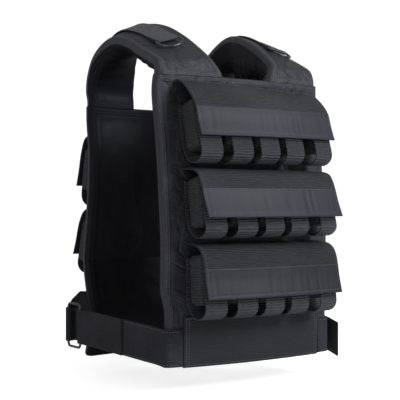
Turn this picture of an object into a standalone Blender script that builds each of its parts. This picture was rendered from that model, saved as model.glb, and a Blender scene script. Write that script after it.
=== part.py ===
"""Weighted vest: padded panels, shoulder pads, five rows of weight pouches and a strapped waist.

Metres, +Z up. The wearer faces -Y, so the wearer's right is -X. The origin lies midway
between the undersides of the two shoulder pads, where a pair of shoulders carries the vest.
"""

import math
from collections import namedtuple

import bmesh
import bpy
from mathutils import Vector

# Padded panels
PANEL_WIDTH = 0.334
PANEL_THICKNESS = 0.020
PANEL_BOW = 0.014
PANEL_ROUNDING = 0.005
PANEL_ROWS = 17
CHEST_REACH = 0.148
BACK_REACH = 0.142
FRONT_TOP = -0.072
FRONT_BOTTOM = -0.540
BACK_TOP = -0.107
BACK_BOTTOM = -0.552

# Shoulder pads
PAD_CROWN = 0.028
RIGHT_SLOPE = 0.036
LEFT_SLOPE = 0.020
PAD_CURL = 0.006
PAD_THICKNESS = 0.022
PAD_COLUMNS = 7

# Webbing and D-rings on the shoulders
WEBBING_WIDTH = 0.038
WEBBING_THICKNESS = 0.0018
D_RING_ROD = 0.0040
D_RING_DEPTH = 0.026
RING_SIDES = 8

# Pouch rows
FRONT_ROW_WIDTH = 0.276
BACK_ROW_WIDTH = 0.290
BACK_SLACK = 0.005
LOOP_WIDTH = 0.039
LOOP_THICKNESS = 0.0022
LOOP_SAG = 0.028
LOOP_BULGE = 0.004
FLAP_THICKNESS = 0.0030
FLAP_CLEARANCE = LOOP_THICKNESS + 0.0008
WEIGHT_WIDTH = 0.044
WEIGHT_DEPTH = 0.036
WEIGHT_HEIGHT = 0.080
WEIGHT_ROUNDING = 0.005
POUCH_TOP_DEPTH = 0.045
POUCH_BOTTOM_DEPTH = 0.055

# Waist
WAISTBAND_WIDTH = 0.280
WAISTBAND_HEIGHT = 0.082
WAISTBAND_THICKNESS = 0.0040
WAIST_DROP = 0.004
BACK_BAND_HEIGHT = 0.080
BACK_BAND_TOP = -0.440
STRAP_HEIGHT = 0.060
STRAP_THICKNESS = 0.0030
STRAP_RISE = 0.014
STRAP_RING_ROD = 0.0044
STRAP_RING_WIDTH = 0.044
STRAP_RING_CORNER = 0.007
STRAP_RING_PLAY = 0.0010
HIP_HALF_WIDTH = 0.195
RING_BACK = 0.137
BAND_END = 0.020
TAIL_REACH = 0.010
TAIL_DROOP = 0.010
TAIL_OUT = 0.187

# Clearances: cloth on cloth, and a rod inside its fold
SEAT = 0.0005
FOLD_GAP = 0.0004

Section = namedtuple("Section", "height reach")
FRONT_SECTIONS = (
    Section(0.00, 0.785),
    Section(0.08, 0.825),
    Section(0.19, 0.880),
    Section(0.31, 0.930),
    Section(0.45, 0.970),
    Section(0.58, 1.000),
    Section(0.82, 0.985),
    Section(1.00, 0.970),
)
BACK_SECTIONS = (
    Section(0.00, 0.950),
    Section(0.08, 0.905),
    Section(0.19, 0.865),
    Section(0.32, 0.880),
    Section(0.48, 0.935),
    Section(0.62, 1.000),
    Section(0.75, 0.920),
    Section(0.83, 0.830),
    Section(0.91, 0.860),
    Section(1.00, 0.950),
)

Side = namedtuple("Side", "name turn sections top bottom reach row_width pouch_slack")
FRONT = Side(
    "front", 1, FRONT_SECTIONS, FRONT_TOP, FRONT_BOTTOM, CHEST_REACH, FRONT_ROW_WIDTH, 0.0
)
BACK = Side(
    "back", -1, BACK_SECTIONS, BACK_TOP, BACK_BOTTOM, BACK_REACH, BACK_ROW_WIDTH, BACK_SLACK
)

# One row of pouches: where its flap is sewn on, how far the flap's crest comes out and drops,
# and the drops from the seam to the weight's top, the flap's hem and the loops' underside
Row = namedtuple("Row", "side number attach crest_out crest_drop weight hem loop hem_out")
ROWS = (
    Row(FRONT, 1, -0.083, 0.52, 0.010, 0.033, 0.092, 0.136, 0.006),
    Row(FRONT, 2, -0.227, 0.80, 0.004, 0.012, 0.077, 0.111, 0.012),
    Row(FRONT, 3, -0.346, 0.75, 0.006, 0.016, 0.086, 0.120, 0.009),
    Row(BACK, 1, -0.160, 0.80, 0.003, 0.020, 0.090, 0.127, 0.010),
    Row(BACK, 2, -0.294, 0.82, 0.003, 0.018, 0.084, 0.118, 0.010),
)

# Middles of the five webbing loops, as shares of half the row's width
LOOP_MIDDLES = (-0.845, -0.430, -0.040, 0.345, 0.825)

# Shoulder pad, from the front panel over the shoulder to the back panel: out as a share of
# the panel's reach, rise as a share of the height to the crown, and the pad's two edges as
# shares of half the panel's width
PadSection = namedtuple("PadSection", "out rise neck arm slope hug")
PAD_FRONT_SECTIONS = (
    PadSection(1.00, 0.00, 0.26, 0.975, 0.00, 1.0),
    PadSection(1.00, 0.08, 0.29, 0.975, 0.00, 1.0),
    PadSection(0.93, 0.27, 0.36, 0.975, 0.20, 0.9),
    PadSection(0.75, 0.44, 0.40, 0.975, 0.55, 0.6),
    PadSection(0.44, 0.66, 0.43, 0.970, 0.90, 0.3),
    PadSection(0.08, 0.87, 0.46, 0.970, 1.00, 0.1),
)
PAD_BACK_SECTIONS = (
    PadSection(0.28, 0.98, 0.50, 0.975, 0.90, 0.0),
    PadSection(0.57, 0.90, 0.49, 0.985, 0.66, 0.1),
    PadSection(0.82, 0.70, 0.45, 0.995, 0.33, 0.3),
    PadSection(0.96, 0.43, 0.41, 1.000, 0.10, 0.6),
    PadSection(1.01, 0.20, 0.40, 1.000, 0.00, 0.9),
    PadSection(1.00, 0.07, 0.40, 0.990, 0.00, 1.0),
    PadSection(1.00, 0.00, 0.40, 0.990, 0.00, 1.0),
)
D_RING_SECTION = 3.75

# Side strap in plan, past the front panel's corner: out as a share of the way to the hip
# line, and back as a share of the way to the ring
StrapPoint = namedtuple("StrapPoint", "out back")
STRAP_POINTS = (
    StrapPoint(0.920, 0.12),
    StrapPoint(0.945, 0.24),
    StrapPoint(0.970, 0.45),
    StrapPoint(0.990, 0.70),
    StrapPoint(1.000, 0.97),
)

Finish = namedtuple("Finish", "colour roughness metallic")
NYLON = Finish((0.012, 0.012, 0.014), 0.62, 0.0)
FLAP_CLOTH = Finish((0.020, 0.020, 0.024), 0.55, 0.0)
WEBBING = Finish((0.018, 0.018, 0.020), 0.75, 0.0)
WEIGHT_CLOTH = Finish((0.016, 0.016, 0.018), 0.80, 0.0)
LOOP_TAPE = Finish((0.010, 0.010, 0.012), 0.95, 0.0)
BLACK_METAL = Finish((0.020, 0.020, 0.022), 0.30, 0.9)

for thing in list(bpy.data.objects):
    bpy.data.objects.remove(thing, do_unlink=True)


def give_finish(thing, finish):
    """Give a thing its own material."""
    material = bpy.data.materials.new(thing.name)
    material.use_nodes = True
    shader = material.node_tree.nodes["Principled BSDF"]
    shader.inputs["Base Color"].default_value = (*finish.colour, 1.0)
    shader.inputs["Roughness"].default_value = finish.roughness
    shader.inputs["Metallic"].default_value = finish.metallic
    thing.data.materials.append(material)


def link_mesh(name, bm, finish):
    """Turn a bmesh into a smooth-shaded object with its own material."""
    mesh = bpy.data.meshes.new(name)
    bm.to_mesh(mesh)
    bm.free()
    mesh.shade_smooth()
    mesh.set_sharp_from_angle(angle=math.radians(35))
    thing = bpy.data.objects.new(name, mesh)
    bpy.context.collection.objects.link(thing)
    give_finish(thing, finish)
    return thing


def sheet(name, rows, thickness, finish, grow, rounding=0.0, keep=None):
    """Cloth through rows of points, thickened outwards (grow 1) or inwards (grow -1).

    Rows run down and columns run left to right as seen from outside. keep tells which
    cells of the grid are cloth.
    """
    bm = bmesh.new()
    grid = [[bm.verts.new(point) for point in row] for row in rows]
    for r in range(len(grid) - 1):
        for c in range(len(grid[0]) - 1):
            if keep is None or keep(r, c):
                bm.faces.new((grid[r][c], grid[r + 1][c], grid[r + 1][c + 1], grid[r][c + 1]))
    loose = [vert for vert in bm.verts if not vert.link_faces]
    bmesh.ops.delete(bm, geom=loose, context="VERTS")
    thing = link_mesh(name, bm, finish)
    wall = thing.modifiers.new("thickness", "SOLIDIFY")
    wall.thickness = thickness
    wall.offset = grow
    wall.use_even_offset = True
    if rounding:
        soft = thing.modifiers.new("rim", "BEVEL")
        soft.width = rounding
        soft.segments = 1
        soft.limit_method = "ANGLE"
        soft.angle_limit = math.radians(50)
    return thing


def smooth_value(knots, values, at):
    """A value on the smooth curve through knots, by Catmull-Rom."""
    last = len(knots) - 1
    i = 0
    while i < last - 1 and at > knots[i + 1]:
        i += 1
    span = knots[i + 1] - knots[i]
    t = min(max((at - knots[i]) / span, 0.0), 1.0)
    before, after = max(i - 1, 0), min(i + 2, last)
    slope_in = (values[i + 1] - values[before]) / (knots[i + 1] - knots[before]) * span
    slope_out = (values[after] - values[i]) / (knots[after] - knots[i]) * span
    return (
        (2 * t**3 - 3 * t**2 + 1) * values[i]
        + (t**3 - 2 * t**2 + t) * slope_in
        + (3 * t**2 - 2 * t**3) * values[i + 1]
        + (t**3 - t**2) * slope_out
    )


def smooth_path(points, per_span):
    """Points on the smooth curve through points, per_span for each stretch between two."""
    knots = range(len(points))
    steps = (len(points) - 1) * per_span
    path = []
    for step in range(steps + 1):
        at = step / per_span
        path.append(tuple(smooth_value(knots, values, at) for values in zip(*points)))
    return path


def spread(start, end, count):
    """Evenly spread values from start to end, both included."""
    return [start + (end - start) * i / (count - 1) for i in range(count)]


def bow(x):
    """How far a panel stands out at x beyond its side edges."""
    return PANEL_BOW * (1 - (2 * x / PANEL_WIDTH) ** 2)


def bow_turn(x):
    """How far something that lies along the bow at x is turned about the vertical."""
    return math.atan(8 * PANEL_BOW * x / PANEL_WIDTH**2)


def panel_levels(side):
    """Heights of a panel's rows, from its top down."""
    return spread(side.top, side.bottom, PANEL_ROWS)


def edge_reach(side, z):
    """How far out from the mid-plane a panel's outer side edge lies at height z.

    Straight from row to row of the panel, so that what is sewn on lies on its face, and
    upright from its top to its second row, where the shoulder pads are sewn on.
    """
    share = min(max((z - side.top) / (side.bottom - side.top), 0.0), 1.0)
    heights = [section.height for section in side.sections]
    reaches = [section.reach for section in side.sections]
    above = min(int(share * (PANEL_ROWS - 1)), PANEL_ROWS - 2)
    ends = (max(above, 1) / (PANEL_ROWS - 1), (above + 1) / (PANEL_ROWS - 1))
    high, low = (smooth_value(heights, reaches, end) for end in ends)
    return side.reach * (high + (low - high) * (share * (PANEL_ROWS - 1) - above))


def face_reach(side, x, z):
    """How far out a panel's outer face lies."""
    return edge_reach(side, z) + bow(x)


def place(side, x, out, z):
    """A point at x across and out from the mid-plane, on the front or turned to the back."""
    return (side.turn * x, -side.turn * out, z)


def make_panel(side):
    """A padded panel, bowed across and leaning as its sections say."""
    half = PANEL_WIDTH / 2
    columns = spread(-half, half, 9)
    levels = panel_levels(side)
    rows = [[place(side, x, face_reach(side, x, z), z) for x in columns] for z in levels]
    return sheet(side.name + "_panel", rows, PANEL_THICKNESS, NYLON, -1, PANEL_ROUNDING)


def pad_point(hand, at, across):
    """A point on a shoulder pad's outer face: at along its sections, across from neck to arm."""
    sections = PAD_FRONT_SECTIONS + PAD_BACK_SECTIONS
    knots = range(len(sections))
    values = PadSection(*(smooth_value(knots, column, at) for column in zip(*sections)))
    front = len(PAD_FRONT_SECTIONS) - 1
    signed_out = [-s.out for s in PAD_FRONT_SECTIONS] + [s.out for s in PAD_BACK_SECTIONS]
    out = smooth_value(knots, signed_out, at)
    tops = [FRONT_TOP] * (front + 1) + [BACK_TOP] * len(PAD_BACK_SECTIONS)
    levels = [top + (PAD_CROWN - top) * s.rise for top, s in zip(tops, sections)]
    level = smooth_value(knots, levels, at)
    half = PANEL_WIDTH / 2
    x = half * (values.neck + (values.arm - values.neck) * across)
    middle = half * (values.neck + values.arm) / 2
    side = FRONT if out < 0 else BACK
    reach = face_reach(side, middle, side.top)
    hugging = values.hug * (bow(x) - bow(middle))
    y = out * reach - side.turn * hugging
    bend = (1 - values.hug) * PAD_CURL * (2 * across - 1) ** 2
    slope = LEFT_SLOPE if hand > 0 else RIGHT_SLOPE
    z = level + slope * values.slope * (0.5 - across) - bend
    return Vector((hand * x, y, z))


def pad_frame(hand, at):
    """Middle of a pad's outer face, with its across, forward and outward directions."""
    step = 0.05
    middle = pad_point(hand, at, 0.5)
    forward = (pad_point(hand, at - step, 0.5) - pad_point(hand, at + step, 0.5)).normalized()
    across = Vector((hand * 1.0, 0.0, 0.0))
    sloped = pad_point(hand, at, 0.6) - pad_point(hand, at, 0.4)
    across = (sloped - forward * sloped.dot(forward)).normalized() * hand
    outward = forward.cross(across).normalized()
    return middle, across, forward, outward


def make_pad(name, hand):
    """A padded shoulder strap from panel to panel, clear of both by a seat."""
    last = len(PAD_FRONT_SECTIONS) + len(PAD_BACK_SECTIONS) - 1
    steps = 2 * last
    shares = spread(0, 1, PAD_COLUMNS)
    if hand > 0:
        shares.reverse()
    rows = [[pad_point(hand, step / 2, share) for share in shares] for step in range(steps + 1)]
    for foot, above, level in ((0, 1, FRONT_TOP), (steps, steps - 1, BACK_TOP)):
        rows[foot] = [Vector((point.x, point.y, level + SEAT)) for point in rows[above]]
    return sheet(name, rows, PAD_THICKNESS, NYLON, -1, PANEL_ROUNDING)


def ring_tube(name, points, rod, finish):
    """A closed rod through points."""
    curve = bpy.data.curves.new(name, "CURVE")
    curve.dimensions = "3D"
    curve.bevel_depth = rod / 2
    curve.bevel_resolution = RING_SIDES // 4
    spline = curve.splines.new("POLY")
    spline.points.add(len(points) - 1)
    for knot, point in zip(spline.points, points):
        knot.co = (*point, 1.0)
    spline.use_cyclic_u = True
    guide = bpy.data.objects.new(name + "_path", curve)
    bpy.context.collection.objects.link(guide)
    mesh = bpy.data.meshes.new_from_object(guide.evaluated_get(bpy.context.evaluated_depsgraph_get()))
    bpy.data.objects.remove(guide, do_unlink=True)
    mesh.name = name
    bm = bmesh.new()
    bm.from_mesh(mesh)
    bmesh.ops.remove_doubles(bm, verts=bm.verts, dist=0.00001)
    bmesh.ops.recalc_face_normals(bm, faces=bm.faces)
    return link_mesh(name, bm, finish)


def bar_height():
    """Height of a D-ring's bar above the pad: the webbing runs under it and folds over it."""
    return SEAT + WEBBING_THICKNESS + FOLD_GAP + D_RING_ROD / 2


def make_shoulder_webbing(name, hand):
    """Webbing along the pad's top, folded forward round the D-ring's bar and back over itself."""
    last = len(PAD_FRONT_SECTIONS) + len(PAD_BACK_SECTIONS) - 1
    stations = spread(last - 0.3, D_RING_SECTION + 0.12, 16)
    lines = []
    for at in stations:
        middle, across, forward, outward = pad_frame(hand, at)
        lines.append((middle + outward * SEAT, across))
    middle, across, forward, outward = pad_frame(hand, D_RING_SECTION)
    bar = middle + outward * bar_height()
    radius = D_RING_ROD / 2 + FOLD_GAP + WEBBING_THICKNESS
    for turn in spread(-75, 90, 7):
        angle = math.radians(turn)
        spot = bar + forward * radius * math.cos(angle) + outward * radius * math.sin(angle)
        lines.append((spot, across))
    doubled = 2 * WEBBING_THICKNESS + SEAT + FOLD_GAP
    for at in (D_RING_SECTION + 0.28, D_RING_SECTION + 0.62):
        middle, across, forward, outward = pad_frame(hand, at)
        lines.append((middle + outward * doubled, across))
    half = WEBBING_WIDTH / 2
    rows = [[spot - across * half, spot + across * half] for spot, across in lines]
    return sheet(name, rows, WEBBING_THICKNESS, WEBBING, 1)


def make_d_ring(name, hand):
    """A D-ring whose bar lies in the webbing's fold and whose bow rests on the pad."""
    middle, across, forward, outward = pad_frame(hand, D_RING_SECTION)
    bar = middle + outward * bar_height()
    lowest = pad_point(hand, D_RING_SECTION - 0.75, 0.5) - pad_point(hand, D_RING_SECTION, 0.5)
    tip_out = Vector(pad_frame(hand, D_RING_SECTION - 0.75)[3]) * (SEAT + D_RING_ROD)
    towards = (middle + lowest + tip_out - bar).normalized()
    half = WEBBING_WIDTH / 2 + 2 * FOLD_GAP + D_RING_ROD / 2
    straight = 0.35 * D_RING_DEPTH
    points = [bar - across * half, bar - across * half + towards * straight]
    for turn in range(1, 8):
        angle = math.radians(180 - 22.5 * turn)
        sideways = across * half * math.cos(angle)
        ahead = towards * (straight + (D_RING_DEPTH - straight) * math.sin(angle))
        points.append(bar + sideways + ahead)
    points += [bar + across * half + towards * straight, bar + across * half]
    ring = ring_tube(name, points, D_RING_ROD, BLACK_METAL)
    return ring


def pouch_rows(row, profile, columns):
    """Rows of points across a pouch row, from its profile of (out, height) at the side edges."""
    return [[place(row.side, x, out + bow(x), z) for x in columns] for out, z in profile]


def row_middles(row):
    """Middles of a row's five loops."""
    return [share * row.side.row_width / 2 for share in LOOP_MIDDLES]


def weight_ends(row):
    """Heights of a row's weights at their top and foot."""
    top = row.attach - row.weight
    return top, top - WEIGHT_HEIGHT


def front_out(row, z):
    """How far out the loops' inner face lies, straight over the weight's top and foot."""
    top, foot = weight_ends(row)
    high = edge_reach(row.side, top) + POUCH_TOP_DEPTH + row.side.pouch_slack
    low = edge_reach(row.side, foot) + POUCH_BOTTOM_DEPTH + row.side.pouch_slack
    return high + (low - high) * (top - z) / WEIGHT_HEIGHT


def make_flap(row):
    """A flap sewn to the panel above its pouches, curving out and down over their fronts."""
    top, foot = weight_ends(row)
    hem = row.attach - row.hem
    seam = max(edge_reach(row.side, row.attach + lap) for lap in (0, FLAP_THICKNESS, 2 * FLAP_THICKNESS))
    shoulder = top - 0.08 * WEIGHT_HEIGHT
    waist = (top + hem) / 2 - 0.1 * WEIGHT_HEIGHT
    outline = (
        (seam + SEAT, row.attach),
        (seam + row.crest_out * POUCH_TOP_DEPTH, row.attach - row.crest_drop),
        (front_out(row, shoulder) + FLAP_CLEARANCE, shoulder),
        (front_out(row, waist) + FLAP_CLEARANCE + row.hem_out / 2, waist),
        (front_out(row, hem) + FLAP_CLEARANCE + row.hem_out, hem),
    )
    half = row.side.row_width / 2
    rows = pouch_rows(row, smooth_path(outline, 2), spread(-half, half, 7))
    name = f"{row.side.name}_flap_{row.number}"
    return sheet(name, rows, FLAP_THICKNESS, FLAP_CLOTH, 1)


def cradle_profile(row):
    """A loop from its sewn strip down the panel, round the bottom and up the weight's front."""
    top, foot = weight_ends(row)
    bottom = row.attach - row.loop
    lift = SEAT + LOOP_THICKNESS
    sewn_foot, turn = top - 0.35 * WEIGHT_HEIGHT, bottom + 0.9 * LOOP_SAG
    down = [z for z in panel_levels(row.side) if sewn_foot - SEAT > z > turn + SEAT]
    panel_side = [(edge_reach(row.side, z) + lift, z) for z in (top - 0.1 * WEIGHT_HEIGHT, sewn_foot, *down)]
    inner, outer = edge_reach(row.side, turn) + lift, front_out(row, foot)
    sling = (
        (inner, turn),
        (inner + 0.28 * (outer - inner), bottom + 0.25 * LOOP_SAG),
        (inner + 0.72 * (outer - inner), bottom),
        (outer + LOOP_BULGE, bottom + 0.55 * LOOP_SAG),
        (outer, foot),
    )
    high = top - 0.25 * WEIGHT_HEIGHT
    return panel_side + smooth_path(sling, 2) + [(front_out(row, high), high)]


def make_cradle(row):
    """Five webbing loops and the strip that sews them to the panel, in one piece."""
    columns = []
    for middle in row_middles(row):
        columns += [middle - LOOP_WIDTH / 2, middle + LOOP_WIDTH / 2]
    rows = pouch_rows(row, cradle_profile(row), columns)
    name = f"{row.side.name}_cradle_{row.number}"
    return sheet(name, rows, LOOP_THICKNESS, WEBBING, -1, keep=lambda r, c: r == 0 or c % 2 == 0)


def make_weight(row, index, middle):
    """A cloth-covered weight standing behind its loop's front, leaning as the loop does."""
    top, foot = weight_ends(row)
    lean = math.atan2(front_out(row, foot) - front_out(row, top), WEIGHT_HEIGHT)
    turn = bow_turn(middle)
    behind = (SEAT + WEIGHT_DEPTH / 2) / math.cos(lean) / math.cos(turn)
    out = front_out(row, (top + foot) / 2) + bow(middle) - behind
    bm = bmesh.new()
    bmesh.ops.create_cube(bm, size=1.0)
    bmesh.ops.scale(bm, vec=(WEIGHT_WIDTH, WEIGHT_DEPTH, WEIGHT_HEIGHT), verts=bm.verts)
    name = f"{row.side.name}_weight_{row.number}_{index}"
    thing = link_mesh(name, bm, WEIGHT_CLOTH)
    soft = thing.modifiers.new("rounding", "BEVEL")
    soft.width = WEIGHT_ROUNDING
    soft.segments = 1
    thing.location = place(row.side, middle, out, (top + foot) / 2)
    half_turn = 0.0 if row.side is FRONT else math.pi
    thing.rotation_euler = (-lean, 0.0, turn + half_turn)
    return thing


def strap_level(share):
    """Top of a side strap, which rises on its way back, most of it past the corner."""
    return FRONT_BOTTOM + STRAP_HEIGHT - WAIST_DROP / 2 + STRAP_RISE * share**0.6


def make_front_waistband():
    """The wide ribbed band along the front panel's foot."""
    half = WAISTBAND_WIDTH / 2
    top = FRONT_BOTTOM + WAISTBAND_HEIGHT - WAIST_DROP
    heights = spread(top, top - WAISTBAND_HEIGHT, 4)
    rows = [
        [place(FRONT, x, face_reach(FRONT, x, z) + SEAT, z) for x in spread(-half, half, 9)]
        for z in heights
    ]
    return sheet("front_waistband", rows, WAISTBAND_THICKNESS, WEBBING, 1)


def fold_radius():
    """Outer radius of strap folded round a ring's bar."""
    return STRAP_RING_ROD / 2 + FOLD_GAP + STRAP_THICKNESS


def strap_plan():
    """Seat face of the right strap in plan, as (across, back) points with shares of the way."""
    half = WAISTBAND_WIDTH / 2
    high = strap_level(0)
    corner = PANEL_WIDTH / 2
    edge = edge_reach(FRONT, high)
    start = -face_reach(FRONT, half, high) - SEAT
    reach = RING_BACK - STRAP_RING_WIDTH - start
    hip = HIP_HALF_WIDTH - fold_radius()
    plan = [
        (half + SEAT, start, 0.0),
        (corner - PANEL_ROUNDING, -edge - 2 * SEAT, 0.0),
        (corner + 2 * SEAT, PANEL_ROUNDING - edge, 0.0),
    ]
    for point in STRAP_POINTS:
        plan.append((hip * point.out, start + reach * point.back, point.back))
    return plan


def outside(plan, i, distance):
    """A point of a plan, moved square to it and away from the body."""
    before, after = plan[max(i - 1, 0)], plan[min(i + 1, len(plan) - 1)]
    across, back = after[0] - before[0], after[1] - before[1]
    length = math.hypot(across, back)
    x, y, share = plan[i]
    return (x + distance * back / length, y - distance * across / length, share)


def strap_fold(start, end, count):
    """Points round the ring's front bar, from the body's side by the back to the outside."""
    radius = fold_radius()
    bar = RING_BACK - STRAP_RING_WIDTH
    points = []
    for turn in spread(start, end, count):
        angle = math.radians(turn)
        points.append((HIP_HALF_WIDTH + radius * math.cos(angle), bar + radius * math.sin(angle), 1.0))
    return points


def make_side_strap(name, hand, tail_start, tail_end):
    """A side strap: from the waistband's end to the ring, round its bar and back outside.

    The tail lies on the strap as far as tail_start and runs on freely through tail_end.
    """
    plan = smooth_path(strap_plan(), 2)
    layers = 2 * STRAP_THICKNESS + SEAT
    tail = [outside(plan, i, layers) for i in range(len(plan) - 2, 0, -1) if plan[i][2] > tail_start]
    line = plan + strap_fold(180, 0, 5) + tail + tail_end
    columns = []
    for x, y, share in line:
        top = strap_level(share) if share >= 0 else strap_level(0) + share * TAIL_DROOP
        columns.append([(hand * x, y, z) for z in spread(top, top - STRAP_HEIGHT, 3)])
    if hand < 0:
        columns.reverse()
    rows = [list(row) for row in zip(*columns)]
    return sheet(name, rows, STRAP_THICKNESS, LOOP_TAPE, 1)


def free_tail():
    """The left strap's free end, which droops straight out past the panel's corner.

    A share below nought counts how much of the droop is reached.
    """
    corner = -face_reach(FRONT, PANEL_WIDTH / 2, FRONT_BOTTOM + STRAP_HEIGHT)
    reach = spread(corner + 2 * TAIL_REACH, corner - TAIL_REACH, 3)
    return [(TAIL_OUT, y, -droop) for y, droop in zip(reach, (0.2, 0.6, 1.0))]


def back_band_half():
    """Half of the back waistband in plan: (across, back or None on the panel, narrowing)."""
    radius = STRAP_RING_ROD / 2 + FOLD_GAP
    line = [(share * PANEL_WIDTH / 2, None, 0.0) for share in (0.0, 0.25, 0.5, 0.75, 0.98)]
    line.append((0.5 * PANEL_WIDTH + 0.3 * BAND_END, RING_BACK - 0.1 * BAND_END, 0.0))
    line.append((HIP_HALF_WIDTH - 0.5 * BAND_END, RING_BACK + radius, 0.45))
    for turn in spread(90, -90, 5):
        angle = math.radians(turn)
        x = HIP_HALF_WIDTH + radius * math.cos(angle)
        line.append((x, RING_BACK + radius * math.sin(angle), 1.0))
    line.append((HIP_HALF_WIDTH - 0.6 * BAND_END, RING_BACK + radius - 3 * SEAT, 1.0))
    line.append((HIP_HALF_WIDTH - BAND_END, RING_BACK - 0.25 * BAND_END, 1.0))
    return line


def make_back_waistband():
    """The band behind, whose narrowed ends fold forward round the rings' rear bars."""
    half = back_band_half()
    line = [(-x, back, narrow) for x, back, narrow in reversed(half[1:])] + half
    tab_top = strap_level(1.0)
    foot = BACK_BAND_TOP - BACK_BAND_HEIGHT
    between = [z for z in panel_levels(BACK) if BACK_BAND_TOP - SEAT > z > foot + SEAT]
    shares = [(BACK_BAND_TOP - z) / BACK_BAND_HEIGHT for z in (BACK_BAND_TOP, *between, foot)]
    columns = []
    for x, back, narrow in line:
        top = BACK_BAND_TOP + (tab_top - BACK_BAND_TOP) * narrow
        height = BACK_BAND_HEIGHT + (STRAP_HEIGHT - BACK_BAND_HEIGHT) * narrow
        column = []
        for z in (top - height * share for share in shares):
            out = face_reach(BACK, x, z) + SEAT if back is None else back
            column.append((x, out, z))
        columns.append(column)
    columns.reverse()
    rows = [list(row) for row in zip(*columns)]
    return sheet("back_waistband", rows, STRAP_THICKNESS, WEBBING, 1)


def strap_ring_points(hand):
    """The ring's round-cornered outline, standing upright at the hip."""
    corner = STRAP_RING_CORNER
    top = strap_level(1.0) + STRAP_RING_PLAY + corner
    foot = strap_level(1.0) - STRAP_HEIGHT - STRAP_RING_PLAY - corner
    back, front = RING_BACK, RING_BACK - STRAP_RING_WIDTH
    corners = (
        (back - corner, top - corner, 0),
        (front + corner, top - corner, 90),
        (front + corner, foot + corner, 180),
        (back - corner, foot + corner, 270),
    )
    points = []
    for y, z, start in corners:
        for turn in (0, 45, 90):
            angle = math.radians(start + turn)
            points.append((hand * HIP_HALF_WIDTH, y + corner * math.cos(angle), z + corner * math.sin(angle)))
    return points


for side in (FRONT, BACK):
    make_panel(side)
make_pad("shoulder_pad_right", -1)
make_pad("shoulder_pad_left", 1)
for wing, hand in (("right", -1), ("left", 1)):
    make_shoulder_webbing("shoulder_webbing_" + wing, hand)
    make_d_ring("d_ring_" + wing, hand)
for row in ROWS:
    make_flap(row)
    make_cradle(row)
    for index, middle in enumerate(row_middles(row), start=1):
        make_weight(row, index, middle)
make_front_waistband()
make_back_waistband()
make_side_strap("side_strap_right", -1, 0.42, [])
make_side_strap("side_strap_left", 1, 0.18, free_tail())
for wing, hand in (("right", -1), ("left", 1)):
    ring_tube("strap_ring_" + wing, strap_ring_points(hand), STRAP_RING_ROD, BLACK_METAL)
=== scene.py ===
# %% [markdown]
# # A weighted vest
# The real vest is two padded panels that hang from two padded shoulder straps. Rows of
# webbing loops carry cloth-covered weights, and a sewn flap closes each row.
# It could be dressed by sculpting over the hard model. Sheets and pads that are rebuilt from
# the same measures, only finer, keep every seam where the hard model has it.

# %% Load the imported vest
import math
from collections import namedtuple

import bmesh
import bpy
import numpy as np
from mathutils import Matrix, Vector


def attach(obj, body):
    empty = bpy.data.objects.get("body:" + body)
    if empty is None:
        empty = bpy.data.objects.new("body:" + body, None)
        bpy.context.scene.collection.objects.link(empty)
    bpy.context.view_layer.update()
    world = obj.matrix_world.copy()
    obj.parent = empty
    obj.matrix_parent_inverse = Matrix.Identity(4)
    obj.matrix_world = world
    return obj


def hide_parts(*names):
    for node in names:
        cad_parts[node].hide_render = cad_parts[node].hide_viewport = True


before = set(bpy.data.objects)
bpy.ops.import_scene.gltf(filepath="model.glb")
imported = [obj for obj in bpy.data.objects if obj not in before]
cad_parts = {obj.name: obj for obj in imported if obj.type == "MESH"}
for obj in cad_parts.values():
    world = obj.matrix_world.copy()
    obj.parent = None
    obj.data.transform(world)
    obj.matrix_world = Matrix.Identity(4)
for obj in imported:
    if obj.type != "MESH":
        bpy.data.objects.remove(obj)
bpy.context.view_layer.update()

# %% [markdown]
# The camera stands level at the height of the vest's middle, a bit to the wearer's right. From
# close by, a wide lens would bend the vest's upright edges together. A long lens from further
# away keeps the panels' sides nearly parallel, as in a studio picture.

# %% Camera
TURN = math.radians(34.5)
camera_data = bpy.data.cameras.new("camera")
camera_data.lens = 93.6
camera_data.sensor_width = 36.0
camera = bpy.data.objects.new("camera", camera_data)
camera.location = (-1.0560, -1.5312, -0.276)
camera.rotation_euler = (math.pi / 2, 0.0, -TURN)
bpy.context.collection.objects.link(camera)
bpy.context.scene.camera = camera
print("lens", camera_data.lens)

# %% [markdown]
# The room is white all round. If its wall and floor lit the vest as strongly as they look, the
# black cloth would turn grey, so they are bright to the camera alone and dim to everything else.
# The floor lies a little below the vest and takes a soft shadow.

# %% Room
WALL_GLOW = (0.36, 1.05)
FLOOR_GLOW = (0.02, 0.72)
FLOOR = -0.586


def glow(tree, dim_and_bright, socket):
    """Makes a strength dim to the scene and bright to the camera."""
    seen = tree.nodes.new("ShaderNodeLightPath").outputs["Is Camera Ray"]
    strength = tree.nodes.new("ShaderNodeMapRange")
    tree.links.new(seen, strength.inputs["Value"])
    strength.inputs["To Min"].default_value, strength.inputs["To Max"].default_value = dim_and_bright
    tree.links.new(strength.outputs["Result"], socket)


world = bpy.data.worlds.new("white_room")
world.use_nodes = True
backdrop = world.node_tree.nodes["Background"]
backdrop.inputs["Color"].default_value = (1.0, 1.0, 1.0, 1.0)
glow(world.node_tree, WALL_GLOW, backdrop.inputs["Strength"])
bpy.context.scene.world = world
bpy.context.scene.view_settings.view_transform = "Standard"
print("wall glows", WALL_GLOW)

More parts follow.
